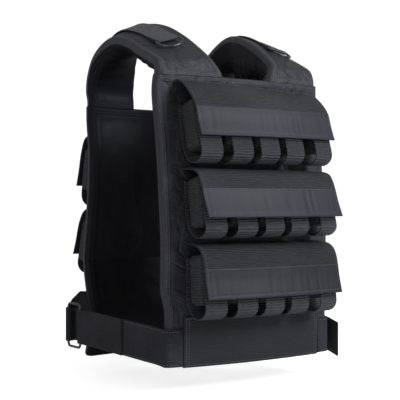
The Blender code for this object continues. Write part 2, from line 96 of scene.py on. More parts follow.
# %% Floor
bpy.ops.object.select_all(action="DESELECT")
bpy.ops.mesh.primitive_plane_add(size=14.0, location=(0.0, 0.0, FLOOR))
floor = bpy.context.active_object
floor.name = "floor"
bpy.ops.object.transform_apply(location=True)
floor_paint = bpy.data.materials.new("floor_paint")
floor_paint.use_nodes = True
floor_shader = floor_paint.node_tree.nodes["Principled BSDF"]
floor_shader.inputs["Base Color"].default_value = (0.93, 0.93, 0.93, 1.0)
floor_shader.inputs["Roughness"].default_value = 0.7
floor_shader.inputs["Emission Color"].default_value = (1.0, 1.0, 1.0, 1.0)
glow(floor_paint.node_tree, FLOOR_GLOW, floor_shader.inputs["Emission Strength"])
floor.data.materials.append(floor_paint)
print("floor at", FLOOR)

# %% [markdown]
# One soft lamp stands in front on the wearer's left and makes the flaps lighter than the loops
# below them. A weaker one on the right keeps the panel's edge from going black. Both are a
# little blue, as black nylon looks under them in the photo.

# %% Lamps
LAMP_COLOUR = (0.91, 0.945, 1.0)


def add_lamp(name, place, target, size, watts):
    """A square soft lamp that looks at a point."""
    data = bpy.data.lights.new(name, "AREA")
    data.size = size
    data.energy = watts
    data.color = LAMP_COLOUR
    lamp = bpy.data.objects.new(name, data)
    lamp.location = place
    lamp.rotation_euler = (Vector(target) - Vector(place)).to_track_quat("-Z", "Y").to_euler()
    bpy.context.collection.objects.link(lamp)


add_lamp("key", (1.2, -2.2, 1.1), (0.0, 0.0, -0.20), 1.1, 64.0)
add_lamp("fill", (-2.2, -1.0, 0.8), (0.0, 0.0, -0.25), 1.6, 8.0)
print("lamps ready")

# %% [markdown]
# Every measure below is the hard model's own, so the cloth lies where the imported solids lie.
# Heights are in metres below the shoulders' seat, and shares count along a part's length.

# %% Panels, pads and rings
# Padded panels
PANEL_WIDTH = 0.334
PANEL_THICKNESS = 0.020
PANEL_BOW = 0.014
PANEL_ROUNDING = 0.005
PANEL_ROWS = 17
CHEST_REACH = 0.148
BACK_REACH = 0.142
FRONT_TOP = -0.072
FRONT_BOTTOM = -0.540
BACK_TOP = -0.107
BACK_BOTTOM = -0.552

# Shoulder pads
PAD_CROWN = 0.028
RIGHT_SLOPE = 0.036
LEFT_SLOPE = 0.020
PAD_CURL = 0.006
PAD_THICKNESS = 0.022

# Webbing and D-rings on the shoulders
WEBBING_WIDTH = 0.038
WEBBING_THICKNESS = 0.0018
D_RING_ROD = 0.0040
D_RING_DEPTH = 0.026
print("panel", PANEL_WIDTH, "m wide and", FRONT_TOP - FRONT_BOTTOM, "m tall")

# %% Pouches and waist
# Pouch rows
FRONT_ROW_WIDTH = 0.276
BACK_ROW_WIDTH = 0.290
BACK_SLACK = 0.005
LOOP_WIDTH = 0.039
LOOP_THICKNESS = 0.0022
LOOP_SAG = 0.028
LOOP_BULGE = 0.004
FLAP_THICKNESS = 0.0030
FLAP_CLEARANCE = LOOP_THICKNESS + 0.0008
WEIGHT_WIDTH = 0.044
WEIGHT_DEPTH = 0.036
WEIGHT_HEIGHT = 0.080
POUCH_TOP_DEPTH = 0.045
POUCH_BOTTOM_DEPTH = 0.055

# Waist
WAISTBAND_WIDTH = 0.280
WAISTBAND_HEIGHT = 0.082
WAISTBAND_THICKNESS = 0.0040
WAIST_DROP = 0.004
BACK_BAND_HEIGHT = 0.080
BACK_BAND_TOP = -0.440
STRAP_HEIGHT = 0.060
STRAP_THICKNESS = 0.0030
STRAP_RISE = 0.014
STRAP_RING_ROD = 0.0044
STRAP_RING_WIDTH = 0.044
STRAP_RING_CORNER = 0.007
STRAP_RING_PLAY = 0.0010
HIP_HALF_WIDTH = 0.195
RING_BACK = 0.137
BAND_END = 0.020
TAIL_REACH = 0.010
TAIL_DROOP = 0.010
TAIL_OUT = 0.187

# Clearances: cloth on cloth, and a rod inside its fold
SEAT = 0.0005
FOLD_GAP = 0.0004
print("weight", WEIGHT_WIDTH, WEIGHT_DEPTH, WEIGHT_HEIGHT)

# %% [markdown]
# A panel's side edges are given by how far they stand out at some heights: the chest is fullest
# a little below its middle, and the back is hollow at the waist.

# %% Side edges of the panels
Section = namedtuple("Section", "height reach")
FRONT_SECTIONS = (
    Section(0.00, 0.785),
    Section(0.08, 0.825),
    Section(0.19, 0.880),
    Section(0.31, 0.930),
    Section(0.45, 0.970),
    Section(0.58, 1.000),
    Section(0.82, 0.985),
    Section(1.00, 0.970),
)
BACK_SECTIONS = (
    Section(0.00, 0.950),
    Section(0.08, 0.905),
    Section(0.19, 0.865),
    Section(0.32, 0.880),
    Section(0.48, 0.935),
    Section(0.62, 1.000),
    Section(0.75, 0.920),
    Section(0.83, 0.830),
    Section(0.91, 0.860),
    Section(1.00, 0.950),
)

Side = namedtuple("Side", "name turn sections top bottom reach row_width pouch_slack")
FRONT = Side(
    "front", 1, FRONT_SECTIONS, FRONT_TOP, FRONT_BOTTOM, CHEST_REACH, FRONT_ROW_WIDTH, 0.0
)
BACK = Side(
    "back", -1, BACK_SECTIONS, BACK_TOP, BACK_BOTTOM, BACK_REACH, BACK_ROW_WIDTH, BACK_SLACK
)
print("sides", FRONT.name, BACK.name)

# %% Rows of pouches
# One row of pouches: where its flap is sewn on, how far the flap's crest comes out and drops,
# and the drops from the seam to the weight's top, the flap's hem and the loops' underside
Row = namedtuple("Row", "side number attach crest_out crest_drop weight hem loop hem_out")
ROWS = (
    Row(FRONT, 1, -0.083, 0.52, 0.010, 0.033, 0.092, 0.136, 0.006),
    Row(FRONT, 2, -0.227, 0.80, 0.004, 0.012, 0.077, 0.111, 0.012),
    Row(FRONT, 3, -0.346, 0.75, 0.006, 0.016, 0.086, 0.120, 0.009),
    Row(BACK, 1, -0.160, 0.80, 0.003, 0.020, 0.090, 0.127, 0.010),
    Row(BACK, 2, -0.294, 0.82, 0.003, 0.018, 0.084, 0.118, 0.010),
)

# Middles of the five webbing loops, as shares of half the row's width
LOOP_MIDDLES = (-0.845, -0.430, -0.040, 0.345, 0.825)
print(len(ROWS), "rows of", len(LOOP_MIDDLES), "loops")

# %% Lines of a shoulder pad and a strap
# Shoulder pad, from the front panel over the shoulder to the back panel: out as a share of
# the panel's reach, rise as a share of the height to the crown, and the pad's two edges as
# shares of half the panel's width
PadSection = namedtuple("PadSection", "out rise neck arm slope hug")
PAD_FRONT_SECTIONS = (
    PadSection(1.00, 0.00, 0.26, 0.975, 0.00, 1.0),
    PadSection(1.00, 0.08, 0.29, 0.975, 0.00, 1.0),
    PadSection(0.93, 0.27, 0.36, 0.975, 0.20, 0.9),
    PadSection(0.75, 0.44, 0.40, 0.975, 0.55, 0.6),
    PadSection(0.44, 0.66, 0.43, 0.970, 0.90, 0.3),
    PadSection(0.08, 0.87, 0.46, 0.970, 1.00, 0.1),
)
PAD_BACK_SECTIONS = (
    PadSection(0.28, 0.98, 0.50, 0.975, 0.90, 0.0),
    PadSection(0.57, 0.90, 0.49, 0.985, 0.66, 0.1),
    PadSection(0.82, 0.70, 0.45, 0.995, 0.33, 0.3),
    PadSection(0.96, 0.43, 0.41, 1.000, 0.10, 0.6),
    PadSection(1.01, 0.20, 0.40, 1.000, 0.00, 0.9),
    PadSection(1.00, 0.07, 0.40, 0.990, 0.00, 1.0),
    PadSection(1.00, 0.00, 0.40, 0.990, 0.00, 1.0),
)
D_RING_SECTION = 3.75

# Side strap in plan, past the front panel's corner: out as a share of the way to the hip
# line, and back as a share of the way to the ring
StrapPoint = namedtuple("StrapPoint", "out back")
STRAP_POINTS = (
    StrapPoint(0.920, 0.12),
    StrapPoint(0.945, 0.24),
    StrapPoint(0.970, 0.45),
    StrapPoint(0.990, 0.70),
    StrapPoint(1.000, 0.97),
)
print("D-ring at section", D_RING_SECTION)

# %% [markdown]
# The vest's outlines were measured at a few points each. A smooth curve that passes through the
# points keeps those measures. A Bezier curve would need handles set by hand as well, so the
# slopes are taken from the neighbouring points here.

# %% Curves through measured points
def smooth_value(knots, values, at):
    """A value on the smooth curve through knots, by Catmull-Rom."""
    last = len(knots) - 1
    i = 0
    while i < last - 1 and at > knots[i + 1]:
        i += 1
    span = knots[i + 1] - knots[i]
    t = min(max((at - knots[i]) / span, 0.0), 1.0)
    before, after = max(i - 1, 0), min(i + 2, last)
    slope_in = (values[i + 1] - values[before]) / (knots[i + 1] - knots[before]) * span
    slope_out = (values[after] - values[i]) / (knots[after] - knots[i]) * span
    return (
        (2 * t**3 - 3 * t**2 + 1) * values[i]
        + (t**3 - 2 * t**2 + t) * slope_in
        + (3 * t**2 - 2 * t**3) * values[i + 1]
        + (t**3 - t**2) * slope_out
    )


def smooth_path(points, per_span):
    """Points on the smooth curve through points, per_span for each stretch between two."""
    knots = range(len(points))
    steps = (len(points) - 1) * per_span
    path = []
    for step in range(steps + 1):
        at = step / per_span
        path.append(tuple(smooth_value(knots, values, at) for values in zip(*points)))
    return path


def spread(start, end, count):
    """Evenly spread values from start to end, both included."""
    return [start + (end - start) * i / (count - 1) for i in range(count)]


print("curve test", smooth_path(((0, 0), (1, 1)), 2))

# %% [markdown]
# A panel is curved both ways: it bows round the chest, and its side edges follow the body from
# the top down. Two small functions give its face at any place, and everything that is sewn to a
# panel asks them where to lie.

# %% Where the panels' faces lie
def bow(x):
    """How far a panel stands out at x beyond its side edges."""
    return PANEL_BOW * (1 - (2 * x / PANEL_WIDTH) ** 2)


def bow_turn(x):
    """How far something that lies along the bow at x is turned about the vertical."""
    return math.atan(8 * PANEL_BOW * x / PANEL_WIDTH**2)


def edge_reach(side, z):
    """How far out from the mid-plane a panel's outer side edge lies at height z."""
    share = min(max((z - side.top) / (side.bottom - side.top), 1 / (PANEL_ROWS - 1)), 1.0)
    heights = [section.height for section in side.sections]
    reaches = [section.reach for section in side.sections]
    return side.reach * smooth_value(heights, reaches, share)


def face_reach(side, x, z):
    """How far out a panel's outer face lies."""
    return edge_reach(side, z) + bow(x)


def place(side, x, out, z):
    """A point at x across and out from the mid-plane, on the front or turned to the back."""
    return (side.turn * x, -side.turn * out, z)


print("chest reach", round(face_reach(FRONT, 0.0, -0.3), 4))

# %% [markdown]
# Cloth on this vest is between one and four millimetres thick, and the pads are ten times that.
# Both are one closed skin: a face, a back and a rounded edge between them. A plane with a
# Solidify modifier would give square edges, so the grid is laid out here with extra rows in the
# edge, and the thickness shrinks there along a quarter circle.

# %% Cutting cloth
Surface = namedtuple("Surface", "u v points normals")


def ease(distance, rim):
    """A quarter circle that rises from 0 at the edge to 1 at rim."""
    part = np.clip(distance / rim, 0.0, 1.0)
    return np.sqrt(1.0 - (1.0 - part) ** 2)


def cuts(length, pitch, rim):
    """Places of a cloth's threads: close in the rounded edge, then evenly spread."""
    edge = np.array([0.0, 0.07, 0.27, 0.6]) * rim
    count = max(2, round((length - 2 * rim) / pitch) + 1)
    return np.concatenate([edge, np.linspace(rim, length - rim, count), length - edge[::-1]])


def relay(points, u, v, new_u, new_v):
    """The same surface through other rows and columns."""
    across = np.stack([[np.interp(new_u, u, row[:, k]) for row in points] for k in range(3)], axis=-1)
    return np.stack(
        [[np.interp(new_v, v, across[:, c, k]) for c in range(len(new_u))] for k in range(3)], axis=-1
    ).transpose(1, 0, 2)


def lengths(points):
    """Metres along a grid's columns and along its rows."""
    u = np.linalg.norm(np.diff(points, axis=1), axis=2).mean(axis=0)
    v = np.linalg.norm(np.diff(points, axis=0), axis=2).mean(axis=1)
    return np.concatenate([[0.0], np.cumsum(u)]), np.concatenate([[0.0], np.cumsum(v)])


def square_to(points):
    """Outward directions of a grid whose rows run down and columns to the right."""
    down, right = np.gradient(points, axis=0), np.gradient(points, axis=1)
    normals = np.cross(down, right)
    return normals / np.maximum(np.linalg.norm(normals, axis=2, keepdims=True), 1e-12)


print("edge rows", cuts(1.0, 0.1, 0.01)[:4])

# %% [markdown]
# Cloth is never quite flat. A few waves of different lengths and directions, added up, never
# repeat within a piece as one noise texture would, and the same seed always gives the same folds.

# %% Folds and skins
def ripples(u, v, seed, low, high, count, tilt=math.pi):
    """Uneven folds, between -1 and 1, from waves of low to high metres at every tilt."""
    dice = np.random.default_rng(seed)
    total = np.zeros_like(u)
    for _ in range(count):
        wave, angle, start = dice.uniform(low, high), dice.uniform(-tilt, tilt) / 2, dice.uniform(0, 6.28)
        total += np.sin((u * math.cos(angle) + v * math.sin(angle)) * 2 * math.pi / wave + start)
    return total / count


def skin(name, outer, inner, u, v, finishes):
    """One closed mesh from two grids that share their border."""
    rows, columns = outer.shape[:2]
    number = np.arange(rows * columns).reshape(rows, columns)
    under = number.copy()
    under[1:-1, 1:-1] = rows * columns + np.arange((rows - 2) * (columns - 2)).reshape(rows - 2, columns - 2)
    face = np.stack([number[:-1, :-1], number[1:, :-1], number[1:, 1:], number[:-1, 1:]], axis=-1).reshape(-1, 4)
    back = np.stack([under[:-1, :-1], under[:-1, 1:], under[1:, 1:], under[1:, :-1]], axis=-1).reshape(-1, 4)
    faces = np.concatenate([face, back])
    verts = np.concatenate([outer.reshape(-1, 3), inner[1:-1, 1:-1].reshape(-1, 3)])
    mesh = bpy.data.meshes.new(name)
    mesh.from_pydata(verts.tolist(), [], faces.tolist())
    grid_u, grid_v = np.meshgrid(u, v)
    flat = np.stack([grid_u, -grid_v], axis=-1).reshape(-1, 2)
    flat = np.concatenate([flat, flat.reshape(rows, columns, 2)[1:-1, 1:-1].reshape(-1, 2)])
    mesh.uv_layers.new(name="cloth").data.foreach_set("uv", flat[faces.reshape(-1)].reshape(-1))
    away = np.minimum(np.minimum(grid_u, u[-1] - grid_u), np.minimum(grid_v, v[-1] - grid_v))
    away = np.concatenate([away.reshape(-1), away[1:-1, 1:-1].reshape(-1)])
    mesh.attributes.new("edge", "FLOAT", "POINT").data.foreach_set("value", away)
    mesh.shade_smooth()
    for finish in finishes:
        mesh.materials.append(finish)
    if len(finishes) > 1:
        slots = np.concatenate([np.zeros(len(face), int), np.ones(len(back), int)])
        mesh.polygons.foreach_set("material_index", slots)
    mesh.update()
    thing = bpy.data.objects.new(name, mesh)
    bpy.context.collection.objects.link(thing)
    return thing


print("skin tools ready")

# %% Laying cloth
def cloth(name, points, thickness, grow, finishes, pitch=0.003, rim=None, relief=None, under=None, ends=None):
    """Cloth or padding on a grid, growing outwards (1) or inwards (-1) from it.

    relief and under give the face's and the back's height, outwards, from (u, v) in metres.
    """
    points = np.array([[tuple(p) for p in row] for row in points], float)
    u, v = lengths(points)
    rim = rim or thickness / 2
    ends = ends or rim
    new_u, new_v = cuts(u[-1], pitch, rim), cuts(v[-1], pitch, ends)
    points = relay(points, u, v, new_u, new_v)
    normals = square_to(points)
    grid_u, grid_v = np.meshgrid(new_u, new_v)
    full = ease(np.minimum(grid_u, new_u[-1] - grid_u), rim) * ease(np.minimum(grid_v, new_v[-1] - grid_v), ends)
    middle = points + normals * (grow * thickness / 2)
    high = thickness / 2 + (0.0 if relief is None else relief(grid_u, grid_v))
    low = -thickness / 2 + (0.0 if under is None else under(grid_u, grid_v))
    outer = middle + normals * (high * full)[..., None]
    inner = middle + normals * (low * full)[..., None]
    thing = skin(name, outer, inner, new_u, new_v, finishes)
    print(f"{name}: {new_u[-1] * 1000:.0f} x {new_v[-1] * 1000:.0f} mm, {len(thing.data.polygons)} faces")
    return thing, Surface(new_u, new_v, outer, normals)


print("cloth tools ready")

# %% [markdown]
# Stitches are what makes sewn cloth read as sewn. Each is a short thread with pointed ends that
# lies in a row along an edge. A dashed line in a material would do from afar, but not up close,
# so one small thread is copied along every seam.

# %% Places on a surface
def on_surface(surface, u, v):
    """Points and outward directions on a surface at places given in metres."""
    def pick(values):
        across = np.clip(np.interp(u, surface.u, np.arange(len(surface.u))), 0, len(surface.u) - 1.001)
        down = np.clip(np.interp(v, surface.v, np.arange(len(surface.v))), 0, len(surface.v) - 1.001)
        c, r = across.astype(int), down.astype(int)
        s, t = (across - c)[:, None], (down - r)[:, None]
        top = values[r, c] * (1 - s) + values[r, c + 1] * s
        return top * (1 - t) + (values[r + 1, c] * (1 - s) + values[r + 1, c + 1] * s) * t
    return pick(surface.points), pick(surface.normals)


def seam_rows(surface, lines, step):
    """Middles, directions and normals of the stitches along straight lines in (u, v)."""
    spots, ways, ups = [], [], []
    for (u0, v0), (u1, v1) in lines:
        length = math.hypot(u1 - u0, v1 - v0)
        share = (np.arange(max(1, int(length / step))) + 0.5) * step / length
        here, up = on_surface(surface, u0 + (u1 - u0) * share, v0 + (v1 - v0) * share)
        ahead, _ = on_surface(surface, u0 + (u1 - u0) * (share + 0.001), v0 + (v1 - v0) * (share + 0.001))
        spots.append(here)
        ways.append(ahead - here)
        ups.append(up)
    return np.concatenate(spots), np.concatenate(ways), np.concatenate(ups)


print("seam tools ready")

# %% Rows of stitches
def stitches(name, surface, lines, finish, step=0.0042, length=0.0030, thick=0.00120):
    """Short threads along lines on a surface, in one piece."""
    spots, ways, ups = seam_rows(surface, lines, step)
    ways /= np.maximum(np.linalg.norm(ways, axis=1, keepdims=True), 1e-12)
    sides = np.cross(ups, ways)
    ring = [(0.0, 1.0), (1.0, 0.0), (0.0, -0.6), (-1.0, 0.0)]
    thread = [(-0.5, 0.0, 0.0), *[(-0.3, a, b) for a, b in ring], *[(0.3, a, b) for a, b in ring], (0.5, 0.0, 0.0)]
    quads = [(1 + k, 5 + k, 5 + (k + 1) % 4, 1 + (k + 1) % 4) for k in range(4)]
    ends = [(0, 1 + k, 1 + (k + 1) % 4) for k in range(4)] + [(9, 5 + (k + 1) % 4, 5 + k) for k in range(4)]
    verts, faces = [], []
    for spot, way, side, up in zip(spots, ways, sides, ups):
        base = len(verts)
        for a, b, c in thread:
            verts.append(spot + way * a * length + side * b * thick / 2 + up * (c * thick / 2))
        faces += [tuple(base + i for i in reversed(corner)) for corner in quads + ends]
    mesh = bpy.data.meshes.new(name)
    mesh.from_pydata([tuple(p) for p in verts], [], faces)
    mesh.shade_smooth()
    mesh.materials.append(finish)
    thing = bpy.data.objects.new(name, mesh)
    bpy.context.collection.objects.link(thing)
    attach(thing, "vest")
    print(f"{name}: {len(spots)} stitches")


print("a thread has 12 faces")

# %% Lines to sew along
def frame_lines(surface, inset):
    """Four lines round a surface, inset from its edges."""
    u, v = surface.u[-1], surface.v[-1]
    a, b, c, d = (inset, inset), (u - inset, inset), (u - inset, v - inset), (inset, v - inset)
    return [(a, b), (b, c), (c, d), (d, a)]


def level_lines(start, end, heights):
    """Straight lines across a surface from start to end, one at each depth below its top."""
    return [((start, v), (end, v)) for v in heights]


def upright_lines(start, end, places):
    """Straight lines down a surface from start to end, one at each distance from its left."""
    return [((u, start), (u, end)) for u in places]


print("line test", level_lines(0.0, 1.0, (0.5,)))

# %% [markdown]
# Black nylon is never one black. Coarse webbing has ribs that catch the light, flap bands have a
# satin shine, loop tape is dull and hairy, and handling leaves lighter patches. The ribs' valleys
# are also painted darker and their tops lighter, as painted shade across the weave.
# Painted pictures could show this, but nodes that read the cloth's own measure in metres stay
# sharp at any distance and need no files.

# %% Small helpers for node trees
def add(tree, kind, inputs=(), **settings):
    """A node with its settings, whose inputs are values or other nodes' outputs."""
    made = tree.nodes.new(kind)
    for key, value in settings.items():
        setattr(made, key, value)
    for key, value in dict(inputs).items():
        if isinstance(value, bpy.types.NodeSocket):
            tree.links.new(value, made.inputs[key])
        else:
            made.inputs[key].default_value = value
    return made


def maths(tree, operation, *values):
    """A Math node's output."""
    return add(tree, "ShaderNodeMath", enumerate(values), operation=operation).outputs[0]


def effect(name, inputs, outputs):
    """An empty node group with named sockets: (name, kind, value) in, (name, kind) out."""
    group = bpy.data.node_groups.new(name, "ShaderNodeTree")
    for label, kind, value in inputs:
        socket = group.interface.new_socket(label, in_out="INPUT", socket_type=kind)
        if value is not None:
            socket.default_value = value
    for label, kind in outputs:
        group.interface.new_socket(label, in_out="OUTPUT", socket_type=kind)
    start, end = group.nodes.new("NodeGroupInput"), group.nodes.new("NodeGroupOutput")
    return group, start.outputs, end.inputs


NUMBER, ARROW = "NodeSocketFloat", "NodeSocketVector"
print("node helpers ready")

# %% [markdown]
# Coarse cloth has ribs across its width, and threads that cross them half a step out from row to
# row. Slubs, which are long thick places in the yarn, keep it from looking printed. The group
# reads the cloth's own measure, so a rib is as wide in metres as its socket says.

# %% Ribs and threads
ribs, given, out = effect(
    "ribs_and_threads",
    [("Cloth", ARROW, None), ("Rib", NUMBER, 0.002), ("Thread", NUMBER, 0.0012), ("Uneven", NUMBER, 0.3)],
    [("Height", NUMBER), ("Tone", NUMBER)],
)
sway = add(ribs, "ShaderNodeTexNoise", {"Vector": given["Cloth"], "Scale": 60.0, "Detail": 2.0}).outputs["Fac"]
split = add(ribs, "ShaderNodeSeparateXYZ", {"Vector": given["Cloth"]}).outputs
rib_sway = maths(ribs, "MULTIPLY", sway, given["Uneven"])
rib_turn = maths(ribs, "ADD", maths(ribs, "DIVIDE", split["Y"], given["Rib"]), rib_sway)
rib_wave = maths(ribs, "COSINE", maths(ribs, "MULTIPLY", rib_turn, 2 * math.pi))
row_number = maths(ribs, "FLOOR", maths(ribs, "ADD", rib_turn, 0.5))
shift = maths(ribs, "MULTIPLY", row_number, 0.5)
thread_turn = maths(ribs, "ADD", maths(ribs, "DIVIDE", split["X"], given["Thread"]), shift)
thread_wave = maths(ribs, "COSINE", maths(ribs, "MULTIPLY", thread_turn, 2 * math.pi))
rib_height = maths(ribs, "MULTIPLY_ADD", rib_wave, 0.5, 0.5)
thread_height = maths(ribs, "MULTIPLY_ADD", thread_wave, 0.2, 0.8)
height = maths(ribs, "MULTIPLY", rib_height, thread_height)
print("ribs ready")

# %% Grain and slubs
grain = add(ribs, "ShaderNodeTexNoise", {"Vector": given["Cloth"], "Scale": 900.0, "Detail": 1.0}).outputs["Fac"]
stretch = {0: given["Cloth"], 1: (70.0, 420.0, 1.0)}
long_way = add(ribs, "ShaderNodeVectorMath", stretch, operation="MULTIPLY").outputs[0]
yarn = {"Vector": long_way, "Scale": 1.0, "Detail": 3.0, "Roughness": 0.6}
slubs = add(ribs, "ShaderNodeTexNoise", yarn).outputs["Fac"]
slubs = add(ribs, "ShaderNodeMapRange", {"Value": slubs, "From Min": 0.3, "From Max": 0.7}).outputs[0]
rough_height = maths(ribs, "MULTIPLY_ADD", grain, 0.25, height)
ribs.links.new(maths(ribs, "MULTIPLY_ADD", slubs, 0.5, rough_height), out["Height"])
grain_tone = maths(ribs, "MULTIPLY_ADD", grain, 0.9, 0.2)
slub_tone = maths(ribs, "MULTIPLY_ADD", slubs, 0.9, 0.35)
# Painted shade: the valleys of the ribs and threads are darker and their tops lighter.
rib_painted_shade = maths(ribs, "MULTIPLY_ADD", height, 0.8, 0.35)
ribs.links.new(maths(ribs, "MULTIPLY", rib_painted_shade, maths(ribs, "MULTIPLY", grain_tone, slub_tone)), out["Tone"])
print("ribs_and_threads ready")

# %% [markdown]
# Fastening tape is a mat of small hairs. Handling leaves patches that are a little lighter, soft
# cloth lies in shallow creases, and tape that is sewn round an edge is pressed in along its two
# rows of stitches. Each is a group of its own, because several finishes use it.

# %% Hair and handling
NOISE = "ShaderNodeTexNoise"
fuzz, given, out = effect(
    "hair", [("Cloth", ARROW, None), ("Size", NUMBER, 700.0)], [("Height", NUMBER), ("Tone", NUMBER)]
)
tufts = add(fuzz, "ShaderNodeTexVoronoi", {"Vector": given["Cloth"], "Scale": given["Size"]}).outputs["Distance"]
curl = {"Vector": given["Cloth"], "Scale": 420.0, "Detail": 4.0, "Distortion": 1.5}
curls = add(fuzz, NOISE, curl).outputs["Fac"]
fuzz.links.new(maths(fuzz, "MULTIPLY_ADD", tufts, -0.5, curls), out["Height"])
fuzz.links.new(maths(fuzz, "MULTIPLY", curls, curls), out["Tone"])

worn, given, out = effect("handling", [("Place", ARROW, None), ("Size", NUMBER, 9.0)], [("Tone", NUMBER)])
patch = {"Vector": given["Place"], "Scale": given["Size"], "Detail": 4.0, "Roughness": 0.6}
patches = add(worn, NOISE, patch).outputs["Fac"]
rubbed = add(worn, "ShaderNodeMapRange", {"Value": patches, "From Min": 0.35, "From Max": 0.7}).outputs[0]
worn.links.new(rubbed, out["Tone"])
print("hair and handling ready")

# %% Creases and bound edges
crease, given, out = effect("creases", [("Cloth", ARROW, None), ("Size", NUMBER, 16.0)], [("Height", NUMBER)])
lie = {"Vector": given["Cloth"], "Scale": given["Size"], "Detail": 3.0, "Roughness": 0.45, "Distortion": 0.8}
ridge = maths(crease, "ABSOLUTE", maths(crease, "SUBTRACT", add(crease, NOISE, lie).outputs["Fac"], 0.5))
crease.links.new(maths(crease, "SMOOTH_MIN", maths(crease, "MULTIPLY", ridge, 6.0), 1.0, 0.4), out["Height"])

binding, given, out = effect(
    "binding", [("Edge", NUMBER, 0.0), ("Width", NUMBER, 0.013)], [("Tape", NUMBER), ("Height", NUMBER)]
)


def smooth_step(tree, value, **ends):
    """A value's place between two ends, eased at both."""
    named = {label.replace("_", " ").title(): end for label, end in ends.items()}
    return add(tree, "ShaderNodeMapRange", {"Value": value, **named}, interpolation_type="SMOOTHSTEP").outputs[0]


past = maths(binding, "SUBTRACT", given["Width"], given["Edge"])
tape = smooth_step(binding, past, from_min=-0.0006, from_max=0.0006)
taped_height = tape
for inset in (0.0022, 0.0062):
    near = maths(binding, "ABSOLUTE", maths(binding, "SUBTRACT", past, inset))
    groove = smooth_step(binding, near, from_max=0.0011, to_min=1.0, to_max=0.0)
    taped_height = maths(binding, "SUBTRACT", taped_height, maths(binding, "MULTIPLY", groove, 0.7))
binding.links.new(tape, out["Tape"])
binding.links.new(taped_height, out["Height"])
print("groups", [g.name for g in bpy.data.node_groups])
# %% [markdown]
# A finish mixes a dark and a lighter tone of black by the weave and by handling, and turns the
# weave's height into bump. Two of the finishes need more: a flap changes from coarse cloth to
# satin part of the way down, and a padded edge has tape sewn round it. One function makes them
# all, so that each kind of cloth below is only a few numbers.

# %% Tones, satin and taped edges
Satin = namedtuple("Satin", "start dark light rough")
SATIN_SEAM = 0.0004
TAPE_SHARE = 0.8
TAPE_TONE = 0.95
TAPE_HEIGHT = 0.0007


def two_tones(tree, share, dark, light):
    """A colour between dark and light, both linear."""
    mixed = add(tree, "ShaderNodeMix", {"Factor": share}, data_type="RGBA")
    mixed.inputs["A"].default_value = (*dark, 1.0)
    mixed.inputs["B"].default_value = (*light, 1.0)
    return mixed.outputs["Result"]


def satin_band(tree, measure, satin):
    """Where a flap is satin: 1 below the seam and 0 above it."""
    upright = add(tree, "ShaderNodeSeparateXYZ", {"Vector": measure}).outputs["Y"]
    seam = {"From Min": satin.start - SATIN_SEAM, "From Max": satin.start + SATIN_SEAM}
    return add(tree, "ShaderNodeMapRange", {"Value": maths(tree, "MULTIPLY", upright, -1.0), **seam}).outputs[0]


def taped_edge(tree, colour, height, width, tape_colour):
    """A cloth's colour and height, with tape of some width sewn round its edge."""
    away = add(tree, "ShaderNodeAttribute", attribute_name="edge").outputs["Fac"]
    bound = add(tree, "ShaderNodeGroup", {"Edge": away, "Width": width}, node_tree=binding).outputs
    cover = maths(tree, "MULTIPLY", bound["Tape"], TAPE_SHARE)
    taped = add(tree, "ShaderNodeMix", {"Factor": cover, "A": colour}, data_type="RGBA")
    taped.inputs["B"].default_value = (*[c * TAPE_TONE for c in tape_colour], 1.0)
    return taped.outputs["Result"], maths(tree, "MULTIPLY_ADD", bound["Height"], TAPE_HEIGHT, height)


print("tone helpers ready")

# %% Cloth finishes
def weave_of(tree, measure, rib, thread, uneven, hairy):
    """The weave's height and tone, from ribs and threads or from hair; the ribs' tone holds painted shade."""
    weave = add(tree, "ShaderNodeGroup", node_tree=fuzz if hairy else ribs)
    tree.links.new(measure, weave.inputs["Cloth"])
    if not hairy:
        for label, value in (("Rib", rib), ("Thread", thread), ("Uneven", uneven)):
            weave.inputs[label].default_value = value
    return weave.outputs["Height"], weave.outputs["Tone"]


def cloth_finish(name, dark, light, rough, rib, thread, depth, sheen, shine, uneven=0.3,
                 crease_depth=0.0, crease_size=16.0, edge_width=None, hairy=False, satin=None):
    """A woven finish. dark and light are linear colours, depth the ribs' height in metres."""
    material = bpy.data.materials.new(name)
    material.use_nodes = True
    tree = material.node_tree
    shader = tree.nodes["Principled BSDF"]
    shader.inputs["Sheen Weight"].default_value = sheen
    shader.inputs["Sheen Roughness"].default_value = 0.4
    shader.inputs["Specular IOR Level"].default_value = shine
    measure = add(tree, "ShaderNodeUVMap", uv_map="cloth").outputs["UV"]
    spot = add(tree, "ShaderNodeTexCoord").outputs["Object"]
    height, tone = weave_of(tree, measure, rib, thread, uneven, hairy)
    handled = add(tree, "ShaderNodeGroup", {"Place": spot}, node_tree=worn).outputs["Tone"]
    colour = two_tones(tree, maths(tree, "MULTIPLY_ADD", handled, 0.30, tone), dark, light)
    deep = maths(tree, "MULTIPLY", height, depth)
    if satin is None:
        dull = {"Value": tone, "To Min": rough, "To Max": rough + 0.12}
    else:
        band = satin_band(tree, measure, satin)
        soft = two_tones(tree, handled, satin.dark, satin.light)
        both = add(tree, "ShaderNodeMix", {"Factor": band, "A": colour, "B": soft}, data_type="RGBA")
        colour = both.outputs["Result"]
        deep = maths(tree, "MULTIPLY", deep, maths(tree, "SUBTRACT", 1.0, maths(tree, "MULTIPLY", band, 0.95)))
        dull = {"Value": band, "To Min": rough, "To Max": satin.rough}
    if crease_depth:
        folds = add(tree, "ShaderNodeGroup", {"Cloth": measure, "Size": crease_size}, node_tree=crease)
        deep = maths(tree, "MULTIPLY_ADD", folds.outputs["Height"], crease_depth, deep)
    if edge_width:
        colour, deep = taped_edge(tree, colour, deep, edge_width, light)
    bump = add(tree, "ShaderNodeBump", {"Height": deep, "Distance": 1.0, "Strength": 1.0})
    tree.links.new(colour, shader.inputs["Base Color"])
    tree.links.new(add(tree, "ShaderNodeMapRange", dull).outputs[0], shader.inputs["Roughness"])
    tree.links.new(bump.outputs["Normal"], shader.inputs["Normal"])
    return material


print("finishes can be made")
